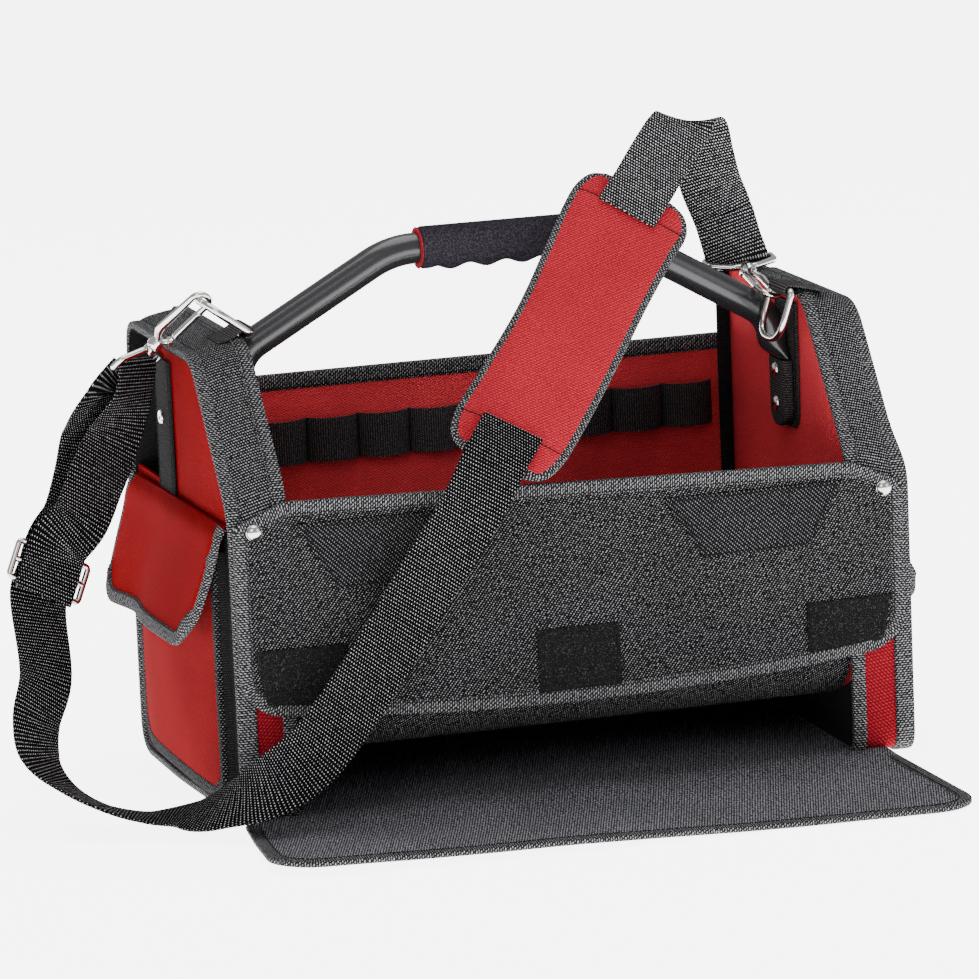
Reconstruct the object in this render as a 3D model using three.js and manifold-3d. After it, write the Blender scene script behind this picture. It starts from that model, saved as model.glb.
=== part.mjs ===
// Open tool bag with a tubular carrying handle, a fold-down front flap and a shoulder strap.
// Millimetres. X runs along the bag, Y from front to back and Z up.
// The origin is on the floor, under the middle of the base.
import * as THREE from 'three';
import { mergeVertices } from 'three/addons/utils/BufferGeometryUtils.js';
import Module from 'manifold-3d';

const wasm = await Module();
wasm.setup();

// Driving dimensions of the bag
const HALF_WIDTH = 220;
const HALF_DEPTH = 119;
const RIDGE_HEIGHT = 291;
const FRONT_TOP = { left: 207, right: 194 };
const BACK_TOP = 239;
const SHOULDER_Y = -45;
const RIM_WIDTH = 36;
const RIM_DROP = 10;
const RIDGE_DROP = { left: 7, right: 10 };
const TRAY_TOP = 36;

// Thicknesses and the clearance between neighbours
const GAP = 0.3;
const WALL = 3;
const CLOTH = 2;
const TRIM = 1.4;
const RIM_FLOOR = GAP + TRIM;
const INNER_HALF = HALF_WIDTH - RIM_WIDTH - 1;
const BINDING_WIDTH = 8;

// End walls, measured outwards from the middle of the bag
const PANEL_X = HALF_WIDTH - RIM_WIDTH + 6;
const PANEL_SHARE = 0.27;
const COVER_X = HALF_WIDTH - 4;
const COVER_FRONT_TOP_Y = 53;
const COVER_LOW_TOP = 190;
const STRIP = { width: 38, low: 160, high: 272 };

// Handle, in the plane Y = 0
const TUBE_RADIUS = 10;
const GRIP_RADIUS = 14;
const GRIP_HALF = 57;
const HANDLE_TOP = 333.7;
const HANDLE_BEND_X = { left: 75, right: 69 };
const LEG_X = 179;
const LEG_BEND_Z = { left: 276, right: 269.4 };
const LEG_END_Z = 200;
const BEND_REACH = 16;
const RIVET_HEIGHTS = { upper: 233, lower: 211 };

// Shoulder strap and its hardware
const STRAP_WIDTH = 40;
const EYE_WIRE = 2.2;
const HOOK_WIRE = 2.2;
const RING_WIRE = 2.2;
const RING_HALF = 18.5;
const TAB_WIDTH = 29;
const RING_DEPTH = 33;

const SIDES = { left: -1, right: 1 };
const CORNER_STEPS = 4;
const WIRE_SIDES = 8;
const X_AXIS = new THREE.Vector3(1, 0, 0);
const Y_AXIS = new THREE.Vector3(0, 1, 0);
const Z_AXIS = new THREE.Vector3(0, 0, 1);

const bag = new THREE.Group();

// Materials
const finish = (color, roughness, metalness = 0) => (
  new THREE.MeshStandardMaterial({ color, roughness, metalness })
);
const RED = () => finish(0xb22224, 0.85);
const GREY = () => finish(0x4a4b4d, 0.9);
const BLACK = () => finish(0x1c1c1f, 0.85);
const HOOK_TAPE = () => finish(0x141414, 0.95);
const PAINT = () => finish(0x26282b, 0.4, 0.3);
const FOAM = () => finish(0x35363a, 0.95);
const NICKEL = () => finish(0xc8c8c8, 0.2, 1);

function addPiece(name, geometry, material) {
  const mesh = new THREE.Mesh(geometry, material);
  mesh.name = name;
  bag.add(mesh);
  return mesh;
}

const vec = (x, y, z) => new THREE.Vector3(x, y, z);
const mix = THREE.MathUtils.lerp;
const range = (count) => Array.from({ length: count + 1 }, (_, i) => i / count);
const smooth = (value, from, to) => THREE.MathUtils.smoothstep(value, from, to);

// Turns every face outwards
function outward(geometry) {
  const position = geometry.getAttribute('position');
  const index = geometry.getIndex();
  const corner = [vec(), vec(), vec()];
  let volume = 0;
  for (let i = 0; i < index.count; i += 3) {
    corner.forEach((point, k) => point.fromBufferAttribute(position, index.getX(i + k)));
    volume += corner[0].dot(corner[1].cross(corner[2]));
  }
  if (volume < 0) {
    for (let i = 0; i < index.count; i += 3) {
      const first = index.getX(i);
      index.setX(i, index.getX(i + 1));
      index.setX(i + 1, first);
    }
  }
  return geometry;
}

// A closed skin through sections.
// A section lists its points along the front, and in the same order along the back.
function skin(sections, closed = false) {
  const positions = [];
  const index = [];
  sections.forEach(({ front, back }) => {
    [...front, ...[...back].reverse()].forEach((point) => positions.push(point.x, point.y, point.z));
  });
  const ring = 2 * sections[0].front.length;
  const spans = closed ? sections.length : sections.length - 1;
  for (let i = 0; i < spans; i += 1) {
    const here = i * ring;
    const there = ((i + 1) % sections.length) * ring;
    for (let k = 0; k < ring; k += 1) {
      const next = (k + 1) % ring;
      index.push(here + k, there + k, there + next, here + k, there + next, here + next);
    }
  }
  if (!closed) {
    const end = (sections.length - 1) * ring;
    for (let k = 0; k < ring / 2 - 1; k += 1) {
      const far = ring - 1 - k;
      index.push(k, k + 1, far - 1, k, far - 1, far);
      index.push(end + k, end + far - 1, end + k + 1, end + k, end + far, end + far - 1);
    }
  }
  const geometry = new THREE.BufferGeometry();
  geometry.setAttribute('position', new THREE.Float32BufferAttribute(positions, 3));
  geometry.setIndex(index);
  return outward(geometry);
}

// An oval section about a centre, as the front and back halves that skin() takes
function oval(centre, across, up, radiusAcross, radiusUp) {
  const points = range(WIRE_SIDES - 1).map((_, k) => {
    const angle = (2 * Math.PI * (k + 0.5)) / WIRE_SIDES;
    return centre.clone()
      .addScaledVector(across, Math.cos(angle) * radiusAcross)
      .addScaledVector(up, Math.sin(angle) * radiusUp);
  });
  const half = WIRE_SIDES / 2;
  return { front: points.slice(0, half), back: points.slice(half).reverse() };
}

// Round wire along points that lie in one plane
function wire(points, normal, radius, closed = false) {
  const count = points.length;
  const sections = points.map((point, i) => {
    const before = points[closed ? (i + count - 1) % count : Math.max(i - 1, 0)];
    const after = points[closed ? (i + 1) % count : Math.min(i + 1, count - 1)];
    const tangent = after.clone().sub(before).normalize();
    const up = normal.clone().cross(tangent).normalize();
    return oval(point, normal, up, radius, radius);
  });
  return skin(sections, closed);
}

// Booleans
function solid(geometry) {
  const plain = geometry.clone();
  plain.deleteAttribute('normal');
  plain.deleteAttribute('uv');
  const merged = mergeVertices(plain, 1e-4);
  return new wasm.Manifold(new wasm.Mesh({
    numProp: 3,
    vertProperties: new Float32Array(merged.getAttribute('position').array),
    triVerts: new Uint32Array(merged.getIndex().array),
  }));
}

function fromSolid(body) {
  const { vertProperties, triVerts } = body.getMesh();
  const geometry = new THREE.BufferGeometry();
  geometry.setAttribute('position', new THREE.BufferAttribute(vertProperties, 3));
  geometry.setIndex(new THREE.BufferAttribute(triVerts, 1));
  return geometry;
}

const fuse = (...parts) => fromSolid(parts.map(solid).reduce((all, part) => all.add(part)));

// Outlines in two dimensions
// Rounds the corners of a closed outline. A corner is its two coordinates and its radius.
function rounded(corners) {
  const place = ([x, y]) => new THREE.Vector2(x, y);
  return corners.flatMap((corner, i) => {
    const here = place(corner);
    const toBefore = place(corners.at(i - 1)).sub(here).normalize();
    const toAfter = place(corners[(i + 1) % corners.length]).sub(here).normalize();
    const reach = corner[2] / Math.tan(Math.acos(toBefore.dot(toAfter)) / 2);
    const start = here.clone().addScaledVector(toBefore, reach);
    const end = here.clone().addScaledVector(toAfter, reach);
    return new THREE.QuadraticBezierCurve(start, here, end).getPoints(CORNER_STEPS);
  });
}

// Moves a closed anticlockwise outline inwards
function inset(points, distance) {
  const inwards = (from, to) => new THREE.Vector2(from.y - to.y, to.x - from.x).normalize();
  return points.map((point, i) => {
    const before = inwards(points.at(i - 1), point);
    const after = inwards(point, points[(i + 1) % points.length]);
    const mitre = before.clone().add(after);
    return point.clone().addScaledVector(mitre, distance / mitre.dot(before));
  });
}

// A plate from a shape in Y and Z, between two planes of X
function plate(outline, fromX, toX) {
  const options = { depth: toX - fromX, bevelEnabled: false, curveSegments: 8 };
  const geometry = new THREE.ExtrudeGeometry(outline, options);
  geometry.applyMatrix4(new THREE.Matrix4().makeBasis(Y_AXIS, Z_AXIS, X_AXIS));
  return geometry.translate(fromX, 0, 0);
}

function block(fromCorner, toCorner) {
  const size = toCorner.clone().sub(fromCorner);
  const centre = fromCorner.clone().add(toCorner).multiplyScalar(0.5);
  return new THREE.BoxGeometry(size.x, size.y, size.z).translate(centre.x, centre.y, centre.z);
}

// End walls: profile of the rim, which is lower at its outer edge (t = 1) than at its inner edge (t = 0)
const rimX = (side, t) => SIDES[side] * (HALF_WIDTH - RIM_WIDTH * (1 - t));

function endOutline(side, t) {
  const ridge = RIDGE_HEIGHT - RIDGE_DROP[side] * t;
  const front = FRONT_TOP[side] - RIM_DROP * t;
  return rounded([
    [-HALF_DEPTH, RIM_FLOOR, 14],
    [HALF_DEPTH, RIM_FLOOR, 22],
    [HALF_DEPTH, ridge, 18],
    [SHOULDER_Y, ridge, 34],
    [-HALF_DEPTH, front, 40],
  ]);
}

// A band round the end wall, between two places across the rim and two depths under its surface
function rimBand(side, fromT, toT, outer, inner) {
  const edges = [fromT, toT].map((t) => {
    const outline = endOutline(side, t);
    const place = (depth) => inset(outline, depth).map((point) => vec(rimX(side, t), point.x, point.y));
    return { outer: place(outer), inner: place(inner) };
  });
  return edges[0].outer.map((_, i) => ({
    front: edges.map((edge) => edge.outer[i]),
    back: edges.map((edge) => edge.inner[i]),
  }));
}

// The two planes of a plate on an end wall, from the lower X to the higher
const plateSpan = (side, distance, thickness) => (
  SIDES[side] < 0 ? [-distance - thickness, -distance] : [distance, distance + thickness]
);

for (const side of Object.keys(SIDES)) {
  const sign = SIDES[side];
  const binding = BINDING_WIDTH / RIM_WIDTH;
  const overhang = 0.02;
  const trim = (fromT, toT) => rimBand(side, fromT, toT, -RIM_FLOOR, -GAP);
  addPiece(`end_rim_${side}`, skin(rimBand(side, 0, 1, 0, WALL), true), RED());
  addPiece(`rim_binding_inner_${side}`, skin(trim(-overhang, binding), true), GREY());
  addPiece(`rim_binding_outer_${side}`, skin(trim(1 - binding, 1 + overhang), true), GREY());

  // Webbing lies between the bindings, from the foot of the back over the ridge to the front corner
  const backFoot = 2 * (CORNER_STEPS + 1) - 1;
  const webbing = trim(binding + overhang, 1 - overhang - binding).slice(backFoot);
  addPiece(`rim_webbing_${side}`, skin(webbing), GREY());

  // Inner end panel
  const panelOutline = inset(endOutline(side, PANEL_SHARE), WALL + GAP);
  const panel = plate(new THREE.Shape(panelOutline), ...plateSpan(side, PANEL_X, WALL));
  addPiece(`end_panel_${side}`, panel, RED());

  // Outer cover: as deep as the bag below. Above it is only in front, so the sleeve behind opens at the back.
  const coverOutline = inset(endOutline(side, 1), WALL + GAP);
  const cover = plate(new THREE.Shape(coverOutline), ...plateSpan(side, COVER_X, CLOTH));
  const opening = block(
    vec(-HALF_WIDTH * 2, COVER_FRONT_TOP_Y, COVER_LOW_TOP),
    vec(HALF_WIDTH * 2, HALF_DEPTH * 2, RIDGE_HEIGHT * 2),
  );
  addPiece(`end_cover_${side}`, fromSolid(solid(cover).subtract(solid(opening))), RED());

  // Webbing strip that edges the upper cover
  const stripX = sign * (COVER_X + CLOTH + GAP);
  const strip = block(
    vec(Math.min(stripX, stripX + sign * TRIM), COVER_FRONT_TOP_Y - STRIP.width, STRIP.low),
    vec(Math.max(stripX, stripX + sign * TRIM), COVER_FRONT_TOP_Y - GAP, STRIP.high),
  );
  addPiece(`cover_strip_${side}`, strip, BLACK());
}

// End pockets: a black gusset, a red face that bulges outwards, and a red flap
const POCKET = { half: 100, floor: 8, top: 172, depth: 9, bulge: 5 };
const POCKET_BACK = COVER_X + CLOTH + GAP;

function pocketGusset(sign) {
  const path = rounded([
    [-POCKET.half - 2, POCKET.top, 0.5],
    [-POCKET.half - 2, POCKET.floor, 14],
    [POCKET.half + 2, POCKET.floor, 14],
    [POCKET.half + 2, POCKET.top, 0.5],
  ]).slice(CORNER_STEPS / 2, -CORNER_STEPS / 2);
  const inner = path.map(({ x, y }) => new THREE.Vector2(
    x - Math.sign(x) * CLOTH,
    y + CLOTH * (POCKET.top - y) / (POCKET.top - POCKET.floor),
  ));
  const planes = [POCKET_BACK, POCKET_BACK + POCKET.depth - CLOTH - GAP];
  return skin(path.map((point, i) => ({
    front: planes.map((x) => vec(sign * x, point.x, point.y)),
    back: planes.map((x) => vec(sign * x, inner[i].x, inner[i].y)),
  })));
}

function pocketFace(sign) {
  const face = (y, z) => {
    const along = 1 - (y / POCKET.half) ** 2;
    const upright = Math.sin(Math.PI * mix(0.12, 0.9, (z - POCKET.floor) / POCKET.top));
    return POCKET_BACK + POCKET.depth - CLOTH + POCKET.bulge * along * upright;
  };
  const low = (y) => POCKET.floor + 12 * smooth(Math.abs(y), POCKET.half - 16, POCKET.half);
  return skin(range(12).map((u) => {
    const y = mix(-POCKET.half, POCKET.half, u);
    const heights = range(5).map((v) => mix(low(y), POCKET.top, v));
    return {
      front: heights.map((z) => vec(sign * (face(y, z) + CLOTH), y, z)),
      back: heights.map((z) => vec(sign * face(y, z), y, z)),
    };
  }));
}

// The flap hangs from its seam on the cover. The left one is lifted at its front, the right one lies flat.
// Columns, from the seam to the free edge: half width, then reach outwards and height of each flap.
const POCKET_FLAP = [
  { half: 112, left: [1.7, 187.5], right: [1.7, 187.5] },
  { half: 111.5, left: [13, 181], right: [13, 180] },
  { half: 110.5, left: [16.5, 165], right: [15, 161] },
  { half: 109, left: [20, 148], right: [15.8, 141] },
  { half: 106, left: [25, 130], right: [17, 120] },
  { half: 102, left: [31, 111], right: [19, 98] },
];
const POCKET_FLAP_SET = {
  left: { dent: 9, pull: 6 },
  right: { dent: 1, pull: 9 },
};
const POCKET_FLAP_ROUND = 24;
const POCKET_FLAP_LENGTH = 86;
const POCKET_FLAP_TILT = 2.4;
const POCKET_DENT = { at: 0.38, spread: 0.3 };
const POCKET_FLAP_ENDS = [0.75, 0.88, 0.94, 0.98, 1];
const POCKET_FLAP_STATIONS = [
  ...[...POCKET_FLAP_ENDS].reverse().map((across) => -across),
  ...[-0.5, -0.25, 0, 0.2, POCKET_DENT.at, 0.55],
  ...POCKET_FLAP_ENDS,
];

function pocketFlap(side) {
  const { dent, pull } = POCKET_FLAP_SET[side];
  const profile = new THREE.CatmullRomCurve3(POCKET_FLAP.map((row) => vec(...row[side], row.half)));
  const edge = POCKET_FLAP.at(-1).half;
  const place = (across, v, lift) => {
    const corner = Math.max(Math.abs(across) * edge - edge + POCKET_FLAP_ROUND, 0);
    const cut = POCKET_FLAP_ROUND - Math.sqrt(POCKET_FLAP_ROUND ** 2 - corner ** 2);
    const down = v * (1 - cut / POCKET_FLAP_LENGTH);
    const row = profile.getPoint(down);
    const pressed = dent * down * Math.exp(-(((across - POCKET_DENT.at) / POCKET_DENT.spread) ** 2));
    const gathered = pull * smooth(Math.abs(across), 0.92, 1) * smooth(down, 0, 0.2);
    const x = POCKET_BACK + row.x - pressed - gathered + lift;
    return vec(SIDES[side] * x, across * row.z, row.y - POCKET_FLAP_TILT * across);
  };
  return skin(POCKET_FLAP_STATIONS.map((across) => ({
    front: range(6).map((v) => place(across, v, CLOTH)),
    back: range(6).map((v) => place(across, v, 0)),
  })));
}

for (const [side, sign] of Object.entries(SIDES)) {
  addPiece(`pocket_gusset_${side}`, pocketGusset(sign), BLACK());
  addPiece(`pocket_face_${side}`, pocketFace(sign), RED());
  addPiece(`pocket_flap_${side}`, pocketFlap(side), RED());
}

// Base, back panel and the floor of the main compartment, which curves up behind the front panel
const BACK_FACE = HALF_DEPTH - WALL;
const BASE_FRONT = -HALF_DEPTH - RIM_FLOOR;
const BASE_THICK = 4;
const FLOOR_RADIUS = 42;
const basePanel = block(vec(-INNER_HALF, BASE_FRONT, 0), vec(INNER_HALF, BACK_FACE - GAP, BASE_THICK));
const backPanel = block(vec(-INNER_HALF, BACK_FACE, 0), vec(INNER_HALF, HALF_DEPTH, BACK_TOP));
addPiece('base_panel', basePanel, GREY());
addPiece('back_panel', backPanel, RED());

function backBinding() {
  const reach = GAP + TRIM;
  const shape = new THREE.Shape();
  shape.moveTo(BACK_FACE - reach, BACK_TOP - BINDING_WIDTH);
  shape.lineTo(BACK_FACE - GAP, BACK_TOP - BINDING_WIDTH);
  shape.lineTo(BACK_FACE - GAP, BACK_TOP + GAP);
  shape.lineTo(HALF_DEPTH + GAP, BACK_TOP + GAP);
  shape.lineTo(HALF_DEPTH + GAP, BACK_TOP - BINDING_WIDTH);
  shape.lineTo(HALF_DEPTH + reach, BACK_TOP - BINDING_WIDTH);
  shape.lineTo(HALF_DEPTH + reach, BACK_TOP + reach);
  shape.lineTo(BACK_FACE - reach, BACK_TOP + reach);
  return plate(shape, -INNER_HALF, INNER_HALF);
}

function compartmentFloor() {
  const front = -HALF_DEPTH + GAP;
  const radius = FLOOR_RADIUS;
  const back = BACK_FACE - 2 * GAP;
  const top = FRONT_TOP.right - RIM_DROP;
  const shape = new THREE.Shape();
  shape.moveTo(back, TRAY_TOP);
  shape.lineTo(back, TRAY_TOP + WALL);
  shape.lineTo(front + radius, TRAY_TOP + WALL);
  shape.absarc(front + radius, TRAY_TOP + radius, radius - WALL, -Math.PI / 2, -Math.PI, true);
  shape.lineTo(front + WALL, top);
  shape.lineTo(front, top);
  shape.lineTo(front, TRAY_TOP + radius);
  shape.absarc(front + radius, TRAY_TOP + radius, radius, Math.PI, 1.5 * Math.PI, false);
  shape.lineTo(back, TRAY_TOP);
  return plate(shape, -INNER_HALF, INNER_HALF);
}

addPiece('back_binding', backBinding(), GREY());
addPiece('compartment_floor', compartmentFloor(), GREY());

// Tool loops: one band sewn to the back panel between the loops
const LOOPS = { count: 10, pitch: 35, bulge: 11, low: 174, high: 205, steps: 6 };

function toolLoops() {
  const half = (LOOPS.count * LOOPS.pitch) / 2;
  return skin(range(LOOPS.count * LOOPS.steps).map((u) => {
    const x = mix(-half, half, u);
    const bulge = LOOPS.bulge * Math.sqrt(Math.abs(Math.sin(Math.PI * u * LOOPS.count)));
    const y = BACK_FACE - GAP - bulge;
    return {
      front: [vec(x, y - TRIM, LOOPS.low), vec(x, y - TRIM, LOOPS.high)],
      back: [vec(x, y, LOOPS.low), vec(x, y, LOOPS.high)],
    };
  }));
}

addPiece('tool_loops', toolLoops(), BLACK());

// Front panel: covers the fronts of both rims.
// Its top corners are clipped, its bottom corners are round and its bottom edge sags.
const FRONT = { half: 218, clipFrom: 186, clip: 14, low: 64, sag: 12, round: 24, bulge: 9 };
const FRONT_FACE = -HALF_DEPTH - RIM_FLOOR - GAP;

function frontTop(x) {
  const slope = mix(FRONT_TOP.left, FRONT_TOP.right, x / (2 * FRONT.half) + 0.5) - 3;
  return slope - FRONT.clip * Math.max(Math.abs(x) - FRONT.clipFrom, 0) / (FRONT.half - FRONT.clipFrom);
}

function frontLow(x) {
  const past = Math.max(Math.abs(x) - (FRONT.half - FRONT.round), 0);
  const arc = FRONT.round - Math.sqrt(Math.max(FRONT.round ** 2 - past ** 2, 0));
  return FRONT.low + FRONT.sag * (x / FRONT.half) ** 2 + arc;
}

function frontFace(x, z, lift) {
  const along = Math.max(1 - (x / FRONT.half) ** 2, 0);
  const down = 1 - smooth(z, FRONT.low, FRONT_TOP.left);
  return vec(x, FRONT_FACE - FRONT.bulge * along * down - lift, z);
}

// Stations along the panel, closer together at the rounded ends
const FRONT_STATIONS = [-218, -217, -214, -209, -202, -194, -186, -150, -110, -70, -35, 0];
const frontXs = [...FRONT_STATIONS, ...FRONT_STATIONS.slice(0, -1).reverse().map((x) => -x)];

function frontPanel() {
  return skin(frontXs.map((x) => {
    const heights = range(5).map((v) => mix(frontLow(x), frontTop(x), v));
    return {
      front: heights.map((z) => frontFace(x, z, CLOTH)),
      back: heights.map((z) => frontFace(x, z, 0)),
    };
  }));
}

function frontBinding() {
  const outline = [
    ...frontXs.map((x) => new THREE.Vector2(x, frontLow(x))),
    ...[...frontXs].reverse().map((x) => new THREE.Vector2(x, frontTop(x))),
  ];
  const inner = inset(outline, BINDING_WIDTH);
  const place = (point, lift) => frontFace(point.x, point.y, CLOTH + lift);
  return skin(outline.map((point, i) => ({
    front: [place(point, GAP + TRIM), place(inner[i], GAP + TRIM)],
    back: [place(point, GAP), place(inner[i], GAP)],
  })), true);
}

// Patches on the front panel. Columns: ends of the bottom edge, ends of the top edge, bottom and top heights.
const PATCHES = {
  hook_patch_left: { lowX: [-200, -148], highX: [-207, -148], low: 84, high: 114, finish: HOOK_TAPE },
  hook_patch_middle: { lowX: [-29, 25], highX: [-29, 25], low: 75, high: 108, finish: HOOK_TAPE },
  hook_patch_right: { lowX: [150, 200], highX: [150, 207], low: 84.5, high: 110, finish: HOOK_TAPE },
  twill_patch_left: { lowX: [-154, -84], highX: [-179, -59], low: 146, high: 189, finish: GREY },
  twill_patch_right: { lowX: [84, 154], highX: [59, 179], low: 142, high: 182, finish: GREY },
};

function frontPatch({ lowX, highX, low, high }) {
  const place = (u, v, lift) => {
    const x = mix(mix(...lowX, u), mix(...highX, u), v);
    return frontFace(x, mix(low, high, v), CLOTH + GAP + lift);
  };
  return skin(range(4).map((u) => ({
    front: range(3).map((v) => place(u, v, 1)),
    back: range(3).map((v) => place(u, v, 0)),
  })));
}

addPiece('front_panel', frontPanel(), GREY());
addPiece('front_panel_binding', frontBinding(), GREY());
for (const [name, patch] of Object.entries(PATCHES)) {
  addPiece(name, frontPatch(patch), patch.finish());
}

// Front flap, folded down on the floor and hinged along the front of the base
const FLAP = {
  left: -214, right: 206, leftFront: -227, rightFront: 209, leftDepth: 122, rightDepth: 152, round: 30,
};
const FLAP_HINGE = BASE_FRONT - GAP;
const FLAP_RISE = 7;

// A place on the flap: u from its left end to its right, v from the hinge to the free edge
function flapPlace(u, v, lift) {
  const fromEnd = Math.min(u, 1 - u) * (FLAP.right - FLAP.left);
  const corner = Math.max(FLAP.round - fromEnd, 0);
  const cut = FLAP.round - Math.sqrt(FLAP.round ** 2 - corner ** 2);
  const depth = mix(FLAP.leftDepth, FLAP.rightDepth, u) - cut;
  const along = (v * depth) / FLAP.leftDepth;
  const x = mix(mix(FLAP.left, FLAP.right, u), mix(FLAP.leftFront, FLAP.rightFront, u), along);
  const rise = FLAP_RISE * (1 - smooth(u, 0, 0.35)) * smooth(along, 0.2, 1);
  return vec(x, FLAP_HINGE - v * depth, rise + lift);
}

const FLAP_END_STATIONS = [0, 0.008, 0.025, 0.07];
const FLAP_MIDDLE_STATIONS = [0.16, 0.3, 0.5, 0.7, 0.84];
const flapRightEnd = [...FLAP_END_STATIONS].reverse().map((u) => 1 - u);
const flapStations = [...FLAP_END_STATIONS, ...FLAP_MIDDLE_STATIONS, ...flapRightEnd];

function frontFlap() {
  return skin(flapStations.map((u) => ({
    front: range(5).map((v) => flapPlace(u, v, CLOTH)),
    back: range(5).map((v) => flapPlace(u, v, 0)),
  })));
}

// The binding runs round the three free edges on the upper side
function flapBinding() {
  const route = [
    ...[0.03, 0.35, 0.7].map((v) => [0, v]),
    ...flapStations.map((u) => [u, 1]),
    ...[0.7, 0.35, 0.03].map((v) => [1, v]),
  ];
  const inner = ([u, v]) => [
    mix(u, 0.5, (2 * BINDING_WIDTH) / (FLAP.right - FLAP.left)),
    v * (1 - BINDING_WIDTH / FLAP.leftDepth),
  ];
  return skin(route.map((at) => ({
    front: [flapPlace(...at, CLOTH + GAP + TRIM), flapPlace(...inner(at), CLOTH + GAP + TRIM)],
    back: [flapPlace(...at, CLOTH + GAP), flapPlace(...inner(at), CLOTH + GAP)],
  })));
}

addPiece('front_flap', frontFlap(), GREY());
addPiece('front_flap_binding', flapBinding(), GREY());

// Handle: one bent tube with flattened ends, a foam grip, and a webbing strip and two rivets at each end
const STRIP_X = PANEL_X - GAP - TRIM;
const TAB_HALF_THICK = 2.4;
const TAB_X = STRIP_X - GAP - TAB_HALF_THICK;

function handleTube() {
  const flat = (x, z) => new THREE.Vector2(x, z);
  const bend = (from, corner, to) => new THREE.QuadraticBezierCurve(from, corner, to).getPoints(4)
    .map(({ x, y }) => ({ x, z: y, wide: TUBE_RADIUS, thick: TUBE_RADIUS }));
  const half = (side) => {
    const low = flat(LEG_X, LEG_BEND_Z[side]);
    const high = flat(HANDLE_BEND_X[side], HANDLE_TOP);
    const slope = high.clone().sub(low).setLength(BEND_REACH);
    return [
      { x: TAB_X, z: LEG_END_Z, wide: 13, thick: TAB_HALF_THICK },
      { x: TAB_X, z: LEG_END_Z + 39, wide: 13, thick: TAB_HALF_THICK },
      { x: mix(LEG_X, TAB_X, 0.4), z: LEG_END_Z + 44, wide: 11.5, thick: 6 },
      ...bend(flat(LEG_X, low.y - BEND_REACH), low, low.clone().add(slope)),
      ...bend(high.clone().sub(slope), high, flat(high.x - BEND_REACH, HANDLE_TOP)),
    ];
  };
  const rows = [...half('right'), ...half('left').reverse().map((row) => ({ ...row, x: -row.x }))];
  return skin(rows.map(({ x, z, wide, thick }, i) => {
    const before = rows[Math.max(i - 1, 0)];
    const after = rows[Math.min(i + 1, rows.length - 1)];
    const tangent = vec(after.x - before.x, 0, after.z - before.z).normalize();
    return oval(vec(x, 0, z), Y_AXIS, Y_AXIS.clone().cross(tangent), wide, thick);
  }));
}

function handleGrip() {
  const bore = TUBE_RADIUS + GAP;
  const profile = [[bore, -GRIP_HALF], [GRIP_RADIUS - 2, -GRIP_HALF], [GRIP_RADIUS, 2 - GRIP_HALF],
    [GRIP_RADIUS, GRIP_HALF - 2], [GRIP_RADIUS - 2, GRIP_HALF], [bore, GRIP_HALF], [bore, -GRIP_HALF]];
  const geometry = new THREE.LatheGeometry(profile.map(([r, h]) => new THREE.Vector2(r, h)), 16);
  return geometry.rotateZ(Math.PI / 2).translate(0, 0, HANDLE_TOP);
}

function dome(radius, height) {
  const curve = new THREE.EllipseCurve(0, 0, radius, height, 0, Math.PI / 2);
  const profile = [new THREE.Vector2(0, 0), ...curve.getPoints(3).slice(0, 3), new THREE.Vector2(0, height)];
  return new THREE.LatheGeometry(profile, 10);
}

const FRONT_RIVET = { fromEnd: 12, fromTop: 8 };

addPiece('handle_tube', handleTube(), PAINT());
addPiece('handle_grip', handleGrip(), FOAM());

for (const [side, sign] of Object.entries(SIDES)) {
  const low = vec(Math.min(sign * STRIP_X, sign * (STRIP_X + TRIM)), -STRAP_WIDTH / 2, LEG_END_Z - 4);
  const high = vec(Math.max(sign * STRIP_X, sign * (STRIP_X + TRIM)), STRAP_WIDTH / 2, RIDGE_HEIGHT - 12);
  addPiece(`handle_strip_${side}`, block(low, high), BLACK());
  for (const [level, z] of Object.entries(RIVET_HEIGHTS)) {
    const head = dome(4.5, 2.6).rotateZ((sign * Math.PI) / 2);
    head.translate(sign * (TAB_X - TAB_HALF_THICK), 0, z);
    addPiece(`handle_rivet_${side}_${level}`, head, NICKEL());
  }
  const x = sign * (FRONT.half - FRONT_RIVET.fromEnd);
  const z = frontTop(x) - FRONT_RIVET.fromTop;
  const seat = frontFace(x, z, CLOTH + TRIM + 2 * GAP);
  const rivet = dome(4.8, 3.6).rotateX(Math.PI).translate(seat.x, seat.y, seat.z);
  addPiece(`front_rivet_${side}`, rivet, NICKEL());
}

// Strap hardware. A ring hangs in a webbing tab at the inner edge of each ridge.
// The hook's reach runs from the middle of the eye's bar to the wire of the ring.
const HARDWARE = {
  left: {
    bar: vec(-180, -22, 296),
    ringLean: vec(-0.8, 0, 0.6),
    reach: vec(0.563, -0.514, 0.647),
    onWire: RING_DEPTH,
    alongWire: 0,
    throughHook: vec(-0.2, 0.95, 0.1),
    eyeAcross: vec(0.7, 0.7, -0.15),
    strapUp: vec(0.2, -0.03, 0.98),
    tabLift: 4,
    tabTurn: 0.36,
  },
  right: {
    bar: vec(175.5, -31.5, 292),
    ringLean: vec(-0.3, 0, -0.954),
    reach: vec(-0.02, -0.976, -0.2),
    onWire: 6,
    alongWire: RING_HALF,
    throughHook: vec(-0.3, 0, -0.954),
    eyeAcross: vec(0.98, 0.15, 0.056),
    strapUp: vec(0.26, 0.05, -0.965),
    tabLift: 0.4,
    tabTurn: 0.5,
  },
};

// Turns a piece drawn with its length along Z and its plane's normal along Y
function framed(geometry, origin, length, normal) {
  const up = length.clone().normalize();
  const across = normal.clone().cross(up).normalize();
  const out = up.clone().cross(across);
  return geometry.applyMatrix4(new THREE.Matrix4().makeBasis(across, out, up).setPosition(origin));
}

// Loop of points in X and Z, with its corners rounded
const loopPoints = (corners) => rounded(corners).map(({ x, y }) => vec(x, 0, y));

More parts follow.
